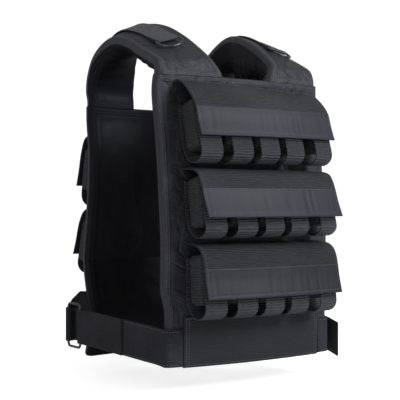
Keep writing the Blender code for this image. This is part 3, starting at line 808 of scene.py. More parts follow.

# %% [markdown]
# A panel and a pad share one make of cloth. The pad's copy is painted lighter, as painted light on
# the tops of the shoulders. The lining is smoother, and its darker colour is painted shade inside
# the vest. The colours were set against the mean tones of the same places in the photo.

# %% Padded finishes
BINDING, PAD_BINDING = 0.013, 0.012
PANEL_CLOTH = cloth_finish(
    "panel_cloth", (0.0045, 0.0045, 0.0068), (0.030, 0.030, 0.037), 0.50, rib=0.0014, thread=0.0014,
    depth=0.00018, sheen=0.02, shine=0.35, crease_depth=0.0022, crease_size=18.0, edge_width=BINDING)
# The lining's darker tones are painted shade for the inside of the vest; the cloth is smoother too.
SHADED_LINING = cloth_finish(
    "shaded_lining", (0.0010, 0.0010, 0.0015), (0.0090, 0.0090, 0.0120), 0.42, rib=0.0011, thread=0.0011,
    depth=0.00008, sheen=0.0, shine=0.10, crease_depth=0.0012, crease_size=6.0, edge_width=BINDING)
# The pad's lighter tones are painted light: the panel's cloth, lit from above on the shoulders.
LIT_PAD_CLOTH = cloth_finish(
    "lit_pad_cloth", (0.0050, 0.0050, 0.0075), (0.040, 0.040, 0.049), 0.46, rib=0.0013, thread=0.0013,
    depth=0.00015, sheen=0.02, shine=0.35, crease_depth=0.0019, crease_size=22.0, edge_width=PAD_BINDING)
print("padded finishes", [m.name for m in (PANEL_CLOTH, SHADED_LINING, LIT_PAD_CLOTH)])

# %% Webbing, waistband, weight and strap finishes
WEBBING_CLOTH = cloth_finish(
    "webbing_cloth", (0.0025, 0.0025, 0.0037), (0.064, 0.064, 0.074), 0.50, rib=0.0044, thread=0.0022,
    depth=0.00180, sheen=0.03, shine=0.35, uneven=0.25, crease_depth=0.0006, crease_size=30.0)
# Painted light: the shoulders' webbing is painted lighter than the loops' webbing, where it lies on top.
LIT_TOP_WEBBING = cloth_finish(
    "top_webbing", (0.012, 0.012, 0.014), (0.120, 0.120, 0.134), 0.52, rib=0.0020, thread=0.0020,
    depth=0.00050, sheen=0.04, shine=0.4, uneven=0.25, crease_depth=0.0005, crease_size=30.0)
WAIST_CLOTH = cloth_finish(
    "waistband_cloth", (0.002, 0.002, 0.003), (0.020, 0.020, 0.025), 0.60, rib=0.0030, thread=0.0024,
    depth=0.0004, sheen=0.02, shine=0.3, uneven=0.5)
WEIGHT_CLOTH = cloth_finish(
    "weight_cloth", (0.0010, 0.0010, 0.0015), (0.055, 0.055, 0.063), 0.70, rib=0.0042, thread=0.0030,
    depth=0.0010, sheen=0.03, shine=0.3, uneven=0.4, crease_depth=0.0007, crease_size=40.0)
LOOP_TAPE = cloth_finish(
    "loop_tape", (0.0010, 0.0010, 0.0018), (0.052, 0.052, 0.062), 0.90, rib=0.002, thread=0.002,
    depth=0.0007, sheen=0.05, shine=0.25, hairy=True)
print("woven finishes", [m.name for m in (WEBBING_CLOTH, LIT_TOP_WEBBING, WAIST_CLOTH, WEIGHT_CLOTH, LOOP_TAPE)])

# %% Thread
THREAD = bpy.data.materials.new("black_thread")
THREAD.use_nodes = True
tree = THREAD.node_tree
shader = tree.nodes["Principled BSDF"]
shader.inputs["Roughness"].default_value = 0.5
spot = add(tree, "ShaderNodeTexCoord").outputs["Object"]
twist = add(tree, "ShaderNodeTexNoise", {"Vector": spot, "Scale": 2500.0, "Detail": 2.0}).outputs["Fac"]
tree.links.new(two_tones(tree, twist, (0.040, 0.040, 0.046), (0.160, 0.160, 0.175)), shader.inputs["Base Color"])
print("thread ready")

# %% [markdown]
# The rings are painted steel rod. The paint is glossy where it is whole, rubbed dull and a
# little lighter in patches, and its skin is faintly uneven as paint on rod is.

# %% Painted steel
RING_PAINT = bpy.data.materials.new("ring_paint")
RING_PAINT.use_nodes = True
tree = RING_PAINT.node_tree
shader = tree.nodes["Principled BSDF"]
shader.inputs["Metallic"].default_value = 0.6
spot = add(tree, "ShaderNodeTexCoord").outputs["Object"]
rubbed = add(tree, "ShaderNodeGroup", {"Place": spot, "Size": 160.0}, node_tree=worn).outputs["Tone"]
paint = two_tones(tree, rubbed, (0.030, 0.030, 0.033), (0.160, 0.160, 0.170))
gloss = add(tree, "ShaderNodeMapRange", {"Value": rubbed, "To Min": 0.18, "To Max": 0.42}).outputs[0]
orange_peel = add(tree, "ShaderNodeTexNoise", {"Vector": spot, "Scale": 900.0, "Detail": 3.0}).outputs["Fac"]
bump = add(tree, "ShaderNodeBump", {"Height": orange_peel, "Distance": 0.0001, "Strength": 0.6})
tree.links.new(paint, shader.inputs["Base Color"])
tree.links.new(gloss, shader.inputs["Roughness"])
tree.links.new(bump.outputs["Normal"], shader.inputs["Normal"])
print("ring_paint ready")

# %% [markdown]
# Each panel is foam between a coated nylon face and a smooth lining, bound all round with
# tape. The foam swells a little between the seams and is pressed in under the sewn-on parts.
# A cloth simulation would swell it evenly. Here the face's height is worked out from uneven
# waves that only press inwards, with a groove inside the binding.

# %% Dents and a panel's face
SLACK, SLACK_ENDS, SLACK_FADE = 0.008, -0.456, 0.035
GROOVE = 0.0005
LINING_SEAM = 0.62


def dip(away, width, power=2):
    """A smooth dent: 1 in its middle and nearly 0 beyond its width."""
    return np.exp(-((away / width) ** power))


def from_edge(u, v):
    """How far a place lies from the nearest edge of its sheet."""
    return np.minimum(np.minimum(u, np.max(u) - u), np.minimum(v, np.max(v) - v))


def slack(x):
    """How far the cloth of the front stands out past the board at the wearer's right arm."""
    share = min(1.0, max(0.0, (-x / (PANEL_WIDTH / 2) - 0.7) / 0.3))
    return -SLACK * share * share * (3 - 2 * share)


def panel_grid(side):
    """A panel's outer face, finely spaced. The front one has some slack above the waistband."""
    half = PANEL_WIDTH / 2
    rows = []
    for z in spread(side.top, side.bottom, 90):
        free = min(1.0, max(0.0, (z - SLACK_ENDS) / SLACK_FADE)) if side.name == "front" else 0.0
        free *= 1.0 - 0.45 * math.exp(-(side.top - z) / 0.015)
        points = [x + free * slack(x) for x in spread(-half, half, 41)]
        rows.append([place(side, x, face_reach(side, x, z), z) for x in points])
    return rows


print("slack at the right edge", round(slack(-PANEL_WIDTH / 2), 4))

# %% Panels
def make_panel(side, seed):
    """A padded panel with its binding."""
    def face(u, v):
        near = from_edge(u, v)
        swell = np.clip((near - BINDING) / 0.012, 0.0, 1.0)
        folds = ripples(u, v, seed, 0.018, 0.075, 9, tilt=1.6)
        return -0.0006 * swell * (1.0 - folds) - 0.0012 * dip(near - BINDING - GROOVE, 0.0016)

    def lining(u, v):
        near = from_edge(u, v)
        folds = ripples(u, v, seed + 5, 0.03, 0.12, 7)
        plump = 0.0016 * (1.0 - folds) * np.clip(near / 0.03, 0.0, 1.0)
        seam = dip(v - LINING_SEAM * np.max(v), 0.004)
        return plump + 0.003 * seam + 0.0012 * dip(near - BINDING - GROOVE, 0.0016)

    name = side.name + "_panel_padding"
    thing, surface = cloth(name, panel_grid(side), PANEL_THICKNESS, -1, [PANEL_CLOTH, SHADED_LINING], pitch=0.0036,
                           rim=0.0060, ends=0.0030, relief=face, under=lining)
    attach(thing, "vest")
    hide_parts(side.name + "_panel")
    return surface


surfaces = [make_panel(side, 3 + n) for n, side in enumerate((FRONT, BACK))]
for side, surface in zip((FRONT, BACK), surfaces):
    lines = frame_lines(surface, 0.0108) + frame_lines(surface, 0.0068)
    stitches(side.name + "_panel_stitches", surface, lines, THREAD)

# %% [markdown]
# A shoulder pad is the same make as a panel, but curved hard over the shoulder, so its face is
# stretched and its underside is gathered into short folds that run across the bend.
# Its line comes from sections that were measured along it, in front and behind.

# %% Where a shoulder pad lies
def pad_point(hand, at, across):
    """A point on a shoulder pad's outer face: at along its sections, across from neck to arm."""
    sections = PAD_FRONT_SECTIONS + PAD_BACK_SECTIONS
    knots = range(len(sections))
    values = PadSection(*(smooth_value(knots, column, at) for column in zip(*sections)))
    front = len(PAD_FRONT_SECTIONS) - 1
    signed_out = [-s.out for s in PAD_FRONT_SECTIONS] + [s.out for s in PAD_BACK_SECTIONS]
    out = smooth_value(knots, signed_out, at)
    tops = [FRONT_TOP] * (front + 1) + [BACK_TOP] * len(PAD_BACK_SECTIONS)
    levels = [top + (PAD_CROWN - top) * s.rise for top, s in zip(tops, sections)]
    level = smooth_value(knots, levels, at)
    half = PANEL_WIDTH / 2
    x = half * (values.neck + (values.arm - values.neck) * across)
    middle = half * (values.neck + values.arm) / 2
    side = FRONT if out < 0 else BACK
    reach = face_reach(side, middle, side.top)
    hugging = values.hug * (bow(x) - bow(middle))
    y = out * reach - side.turn * hugging
    bend = (1 - values.hug) * PAD_CURL * (2 * across - 1) ** 2
    slope = LEFT_SLOPE if hand > 0 else RIGHT_SLOPE
    z = level + slope * values.slope * (0.5 - across) - bend
    return Vector((hand * x, y, z))


def pad_frame(hand, at):
    """Middle of a pad's outer face, with its across, forward and outward directions."""
    step = 0.05
    middle = pad_point(hand, at, 0.5)
    forward = (pad_point(hand, at - step, 0.5) - pad_point(hand, at + step, 0.5)).normalized()
    sloped = pad_point(hand, at, 0.6) - pad_point(hand, at, 0.4)
    across = (sloped - forward * sloped.dot(forward)).normalized() * hand
    outward = forward.cross(across).normalized()
    return middle, across, forward, outward


LAST_SECTION = len(PAD_FRONT_SECTIONS) + len(PAD_BACK_SECTIONS) - 1
print("pad sections", LAST_SECTION + 1)

# %% [markdown]
# The cushion under a pad is deepest below the crest. Both feet are tucked under the edge of
# their panel, so the last rows of each are drawn down to it.

# %% Shoulder pads
PAD_ROWS = 150
PAD_TUCK, PAD_TUCK_ROWS = 0.0045, 14


def pad_grid(hand):
    """A shoulder pad's outer face, finely spaced."""
    shares = spread(0, 1, 15)
    if hand > 0:
        shares.reverse()
    rows = []
    for at in spread(0, LAST_SECTION, PAD_ROWS):
        free = max(0.0, 1.0 - at / (len(PAD_FRONT_SECTIONS) - 1)) ** 0.5
        points = [pad_point(hand, at, share) for share in shares]
        rows.append([Vector((p.x + free * slack(p.x), p.y, p.z)) for p in points])
    last = PAD_ROWS - 1
    for foot, inner, level in ((0, PAD_TUCK_ROWS, FRONT_TOP), (last, last - PAD_TUCK_ROWS, BACK_TOP)):
        tucked = level - PAD_TUCK
        for r in range(min(foot, inner), max(foot, inner) + 1):
            share = abs(r - inner) / PAD_TUCK_ROWS
            rows[r] = [
                Vector((p.x, p.y, p.z * (1 - share) + (tucked + (p.z - level) * 0.2) * share)) for p in rows[r]
            ]
    return rows


def make_pad(name, hand, seed):
    """A shoulder pad with its binding, puckered below."""
    def face(u, v):
        near = np.minimum(u, np.max(u) - u)
        swell = np.clip((near - PAD_BINDING) / 0.012, 0.0, 1.0)
        folds = ripples(u, v, seed, 0.016, 0.06, 9, tilt=1.2)
        return -0.0005 * swell * (1.0 - folds) - 0.0011 * dip(near - PAD_BINDING - GROOVE, 0.0015)

    def lining(u, v):
        folds = ripples(v, u * 0.4, seed + 7, 0.012, 0.030, 9, tilt=0.5)
        reach = np.clip(np.minimum(v, np.max(v) - v) / 0.05, 0.0, 1.0)
        plump = np.sin(np.pi * np.clip(u / np.max(u), 0.0, 1.0)) ** 0.6
        crown = dip(v / np.max(v) - 0.42, 0.26) * plump
        legs = dip(v / np.max(v) - 0.47, 0.38, 6) * plump
        fill = 0.048 * crown + 0.014 * legs if hand > 0 else 0.010 * crown + 0.018 * legs
        return 0.0034 * (1.0 - folds) * reach * (0.6 + crown) - fill

    thing, surface = cloth(name + "_padding", pad_grid(hand), PAD_THICKNESS, -1, [LIT_PAD_CLOTH, SHADED_LINING],
                           pitch=0.0030, rim=0.0075, ends=0.0030, relief=face, under=lining)
    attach(thing, "vest")
    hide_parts(name)
    lines = frame_lines(surface, 0.0102) + frame_lines(surface, 0.0062)
    stitches(name + "_stitches", surface, lines, THREAD)


for name, hand in (("shoulder_pad_right", -1), ("shoulder_pad_left", 1)):
    make_pad(name, hand, 20 + hand)

# %% [markdown]
# The webbing on each pad ends in a fold round the D-ring's bar, sewn down behind it.
# It keeps its width along its whole length, as woven webbing does.

# %% Webbing's line
def bar_height():
    """Height of a D-ring's bar above the pad: the webbing runs under it and folds over it."""
    return SEAT + WEBBING_THICKNESS + FOLD_GAP + D_RING_ROD / 2


def webbing_lines(hand):
    """Middle points and across directions from the back, round the bar and back over itself."""
    lines = []
    for at in spread(LAST_SECTION - 0.3, D_RING_SECTION + 0.12, 60):
        middle, across, forward, outward = pad_frame(hand, at)
        lines.append((middle + outward * SEAT, across))
    middle, across, forward, outward = pad_frame(hand, D_RING_SECTION)
    bar = middle + outward * bar_height()
    radius = D_RING_ROD / 2 + FOLD_GAP + WEBBING_THICKNESS / 2
    for turn in spread(-75, 90, 19):
        angle = math.radians(turn)
        lines.append((bar + forward * radius * math.cos(angle) + outward * radius * math.sin(angle), across))
    doubled = 1.5 * WEBBING_THICKNESS + SEAT + FOLD_GAP
    for at in spread(D_RING_SECTION + 0.28, D_RING_SECTION + 0.62, 6):
        middle, across, forward, outward = pad_frame(hand, at)
        lines.append((middle + outward * (doubled + WEBBING_THICKNESS / 2), across))
    return lines


def sewn(thing, node):
    """A sheet that rides on the vest in its node's place."""
    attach(thing, "vest")
    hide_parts(node)


print("webbing line", len(webbing_lines(1)), "points")

# %% [markdown]
# The fold is closed by two rows of stitches close behind the bar. The rows along the edges stop
# short of it, because no needle reaches in there.

# %% Shoulder webbing
for wing, hand in (("right", -1), ("left", 1)):
    half = WEBBING_WIDTH / 2
    rows = [[spot - across * half, spot + across * half] for spot, across in webbing_lines(hand)]
    name = "shoulder_webbing_" + wing
    thing, surface = cloth(name + "_woven", rows, WEBBING_THICKNESS, 1, [LIT_TOP_WEBBING], pitch=0.0025)
    sewn(thing, name)
    u, v = surface.u[-1], surface.v[-1]
    end = level_lines(0.004, u - 0.004, (v - 0.003, v - 0.013))
    sides = upright_lines(0.004, v - 0.060, (0.0030, u - 0.0030))
    stitches(name + "_stitches", surface, end + sides, THREAD)

# %% [markdown]
# A D-ring and a strap ring are rod bent on a former. Each starts as a circle of points that is
# laid on the rod's centre line, becomes a curve with the rod's thickness, and then a mesh.

# %% Bent rod
def bent_rod(name, points, rod, body, node):
    """A closed rod through points."""
    bpy.ops.object.select_all(action="DESELECT")
    bpy.ops.mesh.primitive_circle_add(vertices=len(points), radius=0.02)
    ring = bpy.context.active_object
    ring.name = name
    for vert, point in zip(ring.data.vertices, points):
        vert.co = point
    bpy.ops.object.convert(target="CURVE")
    ring = bpy.context.active_object
    ring.data.bevel_depth = rod / 2
    ring.data.bevel_resolution = 5
    bpy.ops.object.convert(target="MESH")
    ring = bpy.context.active_object
    bpy.ops.object.mode_set(mode="EDIT")
    bpy.ops.mesh.select_all(action="SELECT")
    bpy.ops.mesh.remove_doubles(threshold=0.00001)
    bpy.ops.mesh.normals_make_consistent(inside=False)
    bpy.ops.object.mode_set(mode="OBJECT")
    bpy.ops.object.shade_smooth()
    ring.data.materials.clear()
    ring.data.materials.append(RING_PAINT)
    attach(ring, body)
    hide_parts(node)
    print(name, len(ring.data.polygons), "faces")


print("rod tool ready")

# %% [markdown]
# A D-ring stands with its bar across the pad, in the fold of the webbing. Its bow lies towards
# the front and just clears the pad, where the real one hangs.

# %% D-ring's line
LEG_START = 0.0016


def d_ring_points(hand):
    """The D-ring's centre line: a straight bar, short legs and a half-round bow."""
    middle, across, _, outward = pad_frame(hand, D_RING_SECTION)
    bar = middle + outward * bar_height()
    lowest = pad_point(hand, D_RING_SECTION - 0.75, 0.5) - pad_point(hand, D_RING_SECTION, 0.5)
    tip_out = Vector(pad_frame(hand, D_RING_SECTION - 0.75)[3]) * (SEAT + D_RING_ROD)
    towards = (middle + lowest + tip_out - bar).normalized()
    half = WEBBING_WIDTH / 2 + 2 * FOLD_GAP + D_RING_ROD / 2
    straight = 0.35 * D_RING_DEPTH
    left, right = bar - across * half, bar + across * half
    bow_line = []
    for turn in range(1, 24):
        angle = math.radians(180 - 7.5 * turn)
        reach = straight + (D_RING_DEPTH - straight) * math.sin(angle)
        bow_line.append(bar + across * half * math.cos(angle) + towards * reach)
    near, far = bar - across * half * 0.94, bar + across * half * 0.94
    legs = [left + towards * LEG_START, left + towards * straight]
    return [near, *legs, *bow_line, right + towards * straight, right + towards * LEG_START, far, bar]


print("D-ring line", len(d_ring_points(1)), "points")

# %% [markdown]
# A strap ring is a tall frame with round corners. Its height follows the strap that runs through
# it, with a little play above and below.

# %% Strap rings and D-rings
def strap_level(share):
    """Top of a side strap, which rises on its way back, most of it past the corner."""
    return FRONT_BOTTOM + STRAP_HEIGHT - WAIST_DROP / 2 + STRAP_RISE * share**0.6


def strap_ring_points(hand):
    """The strap ring's round-cornered outline."""
    corner = STRAP_RING_CORNER
    top = strap_level(1.0) + STRAP_RING_PLAY + corner
    foot = strap_level(1.0) - STRAP_HEIGHT - STRAP_RING_PLAY - corner
    back, front = RING_BACK, RING_BACK - STRAP_RING_WIDTH
    corners = ((back - corner, top - corner, 0), (front + corner, top - corner, 90),
               (front + corner, foot + corner, 180), (back - corner, foot + corner, 270))
    points = []
    for y, z, start in corners:
        for turn in spread(0, 90, 10):
            angle = math.radians(start + turn)
            points.append((hand * HIP_HALF_WIDTH, y + corner * math.cos(angle), z + corner * math.sin(angle)))
    return points


for wing, hand in (("right", -1), ("left", 1)):
    bent_rod("d_ring_" + wing + "_rod", d_ring_points(hand), D_RING_ROD, "d_ring_" + wing, "d_ring_" + wing)
    bent_rod("strap_ring_" + wing + "_rod", strap_ring_points(hand), STRAP_RING_ROD, "vest", "strap_ring_" + wing)

# %% [markdown]
# A flap is coarse ribbed nylon above and smooth satin below, where a wide strip of fastening
# tape is sewn behind the cloth. The tape's stitching draws the satin into faint upright puckers.
# The two cloths are one sheet here, and its material changes at the seam, where a small ridge
# is left on the face.

# %% Pouch rows' measures
def row_middles(row):
    """Middles of a row's five loops."""
    return [share * row.side.row_width / 2 for share in LOOP_MIDDLES]


def weight_ends(row):
    """Heights of a row's weights at their top and foot."""
    top = row.attach - row.weight
    return top, top - WEIGHT_HEIGHT


def front_out(row, z):
    """How far out the loops' inner face lies, straight over the weight's top and foot."""
    top, foot = weight_ends(row)
    high = edge_reach(row.side, top) + POUCH_TOP_DEPTH + row.side.pouch_slack
    low = edge_reach(row.side, foot) + POUCH_BOTTOM_DEPTH + row.side.pouch_slack
    return high + (low - high) * (top - z) / WEIGHT_HEIGHT


def flap_outline(row):
    """A flap from its seam over the crest and down its front, as (out, height)."""
    top = weight_ends(row)[0]
    hem = row.attach - row.hem
    seam = edge_reach(row.side, row.attach)
    shoulder = top - 0.08 * WEIGHT_HEIGHT
    waist = (top + hem) / 2 - 0.1 * WEIGHT_HEIGHT
    return (
        (seam + SEAT, row.attach),
        (seam + row.crest_out * POUCH_TOP_DEPTH, row.attach - row.crest_drop),
        (front_out(row, shoulder) + FLAP_CLEARANCE, shoulder),
        (front_out(row, waist) + FLAP_CLEARANCE + row.hem_out / 2, waist),
        (front_out(row, hem) + FLAP_CLEARANCE + row.hem_out, hem),
    )


def pouch_rows(row, profile, columns):
    """Rows of points across a pouch row, from its profile at the side edges."""
    return [[place(row.side, x, out + bow(x), z) for x in columns] for out, z in profile]


print("row tops", [round(weight_ends(row)[0], 3) for row in ROWS])

# %% [markdown]
# Each flap has a finish of its own, because the satin begins at that flap's own depth. The lowest
# one in front looks darker in the photo, so a smaller share of the same colours is used there:
# that darker copy is painted shade, low on the vest where less light falls.

# %% Flaps' cloth
BAND = 0.050
FLAP_RIBBED = (0.052, 0.052, 0.061)
SATIN_DARK, SATIN_LIGHT = (0.015, 0.015, 0.023), (0.024, 0.024, 0.036)


def flap_finish(row, length):
    """The flap's two cloths, with the change where this row's band begins."""
    # Painted shade: the lowest front flap is a darker copy of the same cloth.
    share = 0.60 if row.number == 3 else 0.92
    light, satin_dark, satin_light = (
        tuple(c * share for c in colour) for colour in (FLAP_RIBBED, SATIN_DARK, SATIN_LIGHT)
    )
    return cloth_finish(
        f"{row.side.name}_flap_{row.number}_cloth", (0.0025, 0.0025, 0.0035), light, 0.60, rib=0.0030,
        thread=0.0034, depth=0.00075, sheen=0.02, shine=0.25, uneven=0.80, crease_depth=0.00012,
        crease_size=14.0, satin=Satin(length - BAND, satin_dark, satin_light, 0.52))


print("a band is", BAND, "m wide")

# %% [markdown]
# The top flap is sewn on a little askew, so its upper edge drops towards the wearer's left. The
# slant fades out over the crest, and the hem hangs level.

# %% Where the flaps lie
SLANT = {("front", 1): 0.011, ("front", 2): 0.002, ("front", 3): 0.002}
HEM = 0.0055


def flap_rows(row):
    """A flap's seat face; the upper edge of the top one is sewn on a little askew."""
    half = row.side.row_width / 2
    path = smooth_path(flap_outline(row), 12)
    slant = SLANT.get((row.side.name, row.number), 0.0)
    rows = []
    for i, (out, z) in enumerate(path):
        fade = max(0.0, 1.0 - i / 30)
        line = []
        for x in spread(-half, half, 33):
            drop = slant * fade * (x + half) / (2 * half)
            onto = edge_reach(row.side, z - drop) - edge_reach(row.side, z) if i < 12 else 0.0
            line.append(place(row.side, x, out + bow(x) + onto, z - drop))
        rows.append(line)
    return rows


print("flap rows", [len(flap_rows(row)) for row in ROWS])

# %% Flaps
def flap_relief(half, length, seed):
    """A flap's displacement: the seam, the band's puckers, the hem and a few soft folds."""
    dice = np.random.default_rng(seed)
    marks = np.sort(dice.uniform(0.01, 2 * half - 0.01, 26))
    sizes = dice.uniform(0.15, 1.0, 26)
    start = length - BAND

    def face(u, v):
        band = np.clip((v - start) / 0.002, 0.0, 1.0)
        ridge = dip(v - start - 0.0012, 0.0012)
        groove = dip(v - start + 0.0012, 0.0012)
        within = band * dip(v - start - BAND / 2, BAND * 0.42, 4)
        puckers = sum(size * dip(u - mark + 0.05 * (v - length), 0.0026) for mark, size in zip(marks, sizes))
        hem = dip(v - (length - HEM), 0.0010) + dip(u - HEM, 0.0010) + dip(2 * half - u - HEM, 0.0010)
        fold = ripples(u, v * 0.5, seed + 3, 0.03, 0.11, 6, tilt=0.8)
        sewn_in = 0.0005 * (ridge - groove) - 0.00045 * within * puckers - 0.0006 * hem
        return sewn_in + 0.0005 * fold * (1 - band)

    return face


def make_flap(row, seed):
    """A flap with its satin band, puckers, hem and stitches."""
    rows = flap_rows(row)
    length = lengths(np.array(rows, float))[1][-1]
    relief = flap_relief(row.side.row_width / 2, length, seed)
    name = f"{row.side.name}_flap_{row.number}"
    thing, surface = cloth(name + "_cloth", rows, FLAP_THICKNESS, 1, [flap_finish(row, length)], pitch=0.0024,
                           relief=relief)
    sewn(thing, name)
    u, v = surface.u[-1], surface.v[-1]
    band = level_lines(0.006, u - 0.006, [v - BAND + 0.0022])
    hem = level_lines(HEM, u - HEM, [v - HEM]) + upright_lines(0.006, v - HEM, (HEM, u - HEM))
    seat = level_lines(0.006, u - 0.006, [0.004])
    stitches(name + "_stitches", surface, band + hem + seat, THREAD)


for number, row in enumerate(ROWS):
    make_flap(row, 40 + 11 * number)

# %% [markdown]
# Five loops of wide webbing hold a row's weights. On the real vest one long strip is sewn to
# the panel and the loops hang from it. Each loop is laid as its own ribbon here, with a strip
# across their tops, and they are then joined into one piece.

# %% A loop's line
def loop_profile(row):
    """A loop from its sewn top down the panel, round the bottom and up the weight's front."""
    top, foot = weight_ends(row)
    bottom = row.attach - row.loop
    lift = SEAT + LOOP_THICKNESS
    turn = bottom + 0.9 * LOOP_SAG
    start = top - 0.1 * WEIGHT_HEIGHT
    panel_side = [(edge_reach(row.side, z) + lift, z) for z in spread(start, turn, 24)]
    inner, outer = panel_side[-1][0], front_out(row, foot)
    sling = (
        (inner, turn),
        (inner + 0.28 * (outer - inner), bottom + 0.25 * LOOP_SAG),
        (inner + 0.72 * (outer - inner), bottom),
        (outer + LOOP_BULGE, bottom + 0.55 * LOOP_SAG),
        (outer, foot),
    )
    high = top - 0.25 * WEIGHT_HEIGHT
    front = [(front_out(row, z), z) for z in spread(foot, high, 12)]
    path = np.array(panel_side[:-1] + smooth_path(sling, 10) + front[1:])
    for _ in range(60):
        path[1:-1] = 0.25 * path[:-2] + 0.5 * path[1:-1] + 0.25 * path[2:]
    return [tuple(point) for point in path]


print("loop line", len(loop_profile(ROWS[0])), "points")

# %% [markdown]
# As the loops are made, their webbing's area and the longest loop's length are added up. The flat
# size that a row of loops was cut to is counted as one strip as long as a loop, with the width
# that gives all the webbing's area.

# %% The strip over the loops
STRIP_THICKNESS = LOOP_THICKNESS * 1.4


def join(name, things):
    """Several objects as one."""
    bpy.ops.object.select_all(action="DESELECT")
    for thing in things:
        thing.select_set(True)
    bpy.context.view_layer.objects.active = things[0]
    bpy.ops.object.join()
    things[0].name = name
    return things[0]


def strip_grid(row):
    """The strip that sews a row's loops to the panel, across their tops."""
    top = weight_ends(row)[0]
    high, low = top - 0.10 * WEIGHT_HEIGHT, top - 0.35 * WEIGHT_HEIGHT
    middles = row_middles(row)
    columns = spread(middles[0] - LOOP_WIDTH / 2, middles[-1] + LOOP_WIDTH / 2, 25)
    heights = spread(high + 0.001, low, 5)
    return [
        [place(row.side, x, edge_reach(row.side, z) + bow(x) + SEAT + STRIP_THICKNESS, z) for x in columns]
        for z in heights
    ]


print("strip is", round(STRIP_THICKNESS * 1000, 1), "mm thick")

# %% Webbing loops
def make_loops(row, seed):
    """Five loops and the strip that sews them to the panel."""
    name = f"{row.side.name}_cradle_{row.number}"
    profile = loop_profile(row)
    made, area, longest = [], 0.0, 0.0
    for index, middle in enumerate(row_middles(row)):
        columns = spread(middle - LOOP_WIDTH / 2, middle + LOOP_WIDTH / 2, 3)

        def wrinkles(u, v, n=index):
            return 0.0003 * ripples(u, v, seed + n, 0.02, 0.06, 5)

        thing, surface = cloth(f"{name}_loop_{index}", pouch_rows(row, profile, columns), LOOP_THICKNESS, -1,
                               [WEBBING_CLOTH], pitch=0.0025, relief=wrinkles)
        made.append(thing)
        area += surface.u[-1] * surface.v[-1]
        longest = max(longest, surface.v[-1])
    strip, surface = cloth(name + "_strip", strip_grid(row), STRIP_THICKNESS, -1, [WEBBING_CLOTH], pitch=0.004)
    made.append(strip)
    area += surface.u[-1] * surface.v[-1]
    whole = join(name + "_webbing", made)
    sewn(whole, name)


for number, row in enumerate(ROWS):
    make_loops(row, 90 + 10 * number)

# %% [markdown]
# A weight is an iron block in a coarse cloth cover. The cover rounds its corners, bulges a
# little where the filling is loose and is closed by a seam across the top quarter.

# %% A weight block
COVER_ROUNDING = 0.0095
COVER_SEAM = 0.27 * WEIGHT_HEIGHT
COVER_WIDER, COVER_DEEPER = 1.06, 1.26


def round_corner(p, half):
    """A point of a box, drawn in where the box's edges and corners are rounded."""
    core = Vector([max(-half[k] + COVER_ROUNDING, min(half[k] - COVER_ROUNDING, p[k])) for k in range(3)])
    away = p - core
    if away.length < 1e-9:
        return p
    flat = sum(abs(a) > 1e-9 for a in away) == 1
    return core + away.normalized() * (min(COVER_ROUNDING, away.length) if flat else COVER_ROUNDING)


def cover_dent(p, starts):
    """How far the cover is pressed in at a point, between nought and about a millimetre."""
    broad = math.sin(p.x * 230 + starts[0]) * math.sin(p.z * 170 + starts[1])
    return 0.00035 * (1 + broad + math.sin(p.y * 260 + starts[2] + p.z * 90))


def block_mesh(seed):
    """A cloth-covered block round the origin, its seam towards -Y near the top."""
    bm = bmesh.new()
    bmesh.ops.create_cube(bm, size=1.0)
    bmesh.ops.subdivide_edges(bm, edges=bm.edges, cuts=17, use_grid_fill=True)
    half = Vector((WEIGHT_WIDTH / 2, WEIGHT_DEPTH / 2, WEIGHT_HEIGHT / 2))
    layer = bm.loops.layers.uv.new("cloth")
    starts = np.random.default_rng(seed).uniform(0.0, 6.28, 6)
    for vert in bm.verts:
        p = round_corner(Vector([vert.co[k] * 2 * half[k] for k in range(3)]), half)
        dent = cover_dent(p, starts)
        seam = math.exp(-((p.z - COVER_SEAM) / 0.0011) ** 2)
        cap = 1.0 - 0.012 * max(0.0, p.z / half.z) ** 3
        p.x *= COVER_WIDER
        if p.y > 0:
            p.y *= COVER_DEEPER
        inward = p.normalized() * (dent * 0.5 + 0.0013 * seam)
        vert.co = Vector((p.x * cap, p.y * cap, p.z)) - Vector((inward.x, inward.y, inward.z * 0.4))
    for face in bm.faces:
        flat = max(range(3), key=lambda k: abs(face.normal[k]))
        for loop in face.loops:
            c = loop.vert.co
            loop[layer].uv = {0: (c.y, c.z), 1: (c.x, c.z), 2: (c.x, c.y)}[flat]
    bm.normal_update()
    mesh = bpy.data.meshes.new("block")
    bm.to_mesh(mesh)
    bm.free()
    mesh.shade_smooth()
    mesh.materials.append(WEIGHT_CLOTH)
    return mesh


blocks = [block_mesh(seed) for seed in (1, 2, 3)]
print("blocks", [len(block.polygons) for block in blocks])

# %% [markdown]
# A weight leans back against its loop and turns with the panel's curve. Three blocks with
# different dents are used by turns, so that neighbours don't look alike.

# %% Weights
def place_weight(row, index, middle, mesh):
    """A copy of a block, leaning as its loop does."""
    top, foot = weight_ends(row)
    lean = math.atan2(front_out(row, foot) - front_out(row, top), WEIGHT_HEIGHT)
    turn = bow_turn(middle)
    behind = (SEAT + WEIGHT_DEPTH / 2) / math.cos(lean) / math.cos(turn)
    out = front_out(row, (top + foot) / 2) + bow(middle) - behind
    name = f"{row.side.name}_weight_{row.number}_{index}"
    thing = bpy.data.objects.new(name + "_block", mesh.copy())
    bpy.context.collection.objects.link(thing)
    thing.location = place(row.side, middle, out, (top + foot) / 2)
    half_turn = 0.0 if row.side is FRONT else math.pi
    thing.rotation_euler = (-lean, 0.0, turn + half_turn)
    bpy.ops.object.select_all(action="DESELECT")
    thing.select_set(True)
    bpy.context.view_layer.objects.active = thing
    bpy.ops.object.transform_apply(location=True, rotation=True, scale=True)
    sewn(thing, name)


for row in ROWS:
    for index, middle in enumerate(row_middles(row), start=1):
        place_weight(row, index, middle, blocks[(index + row.number) % 3])
for block in blocks:
    bpy.data.meshes.remove(block)
print("weights placed")

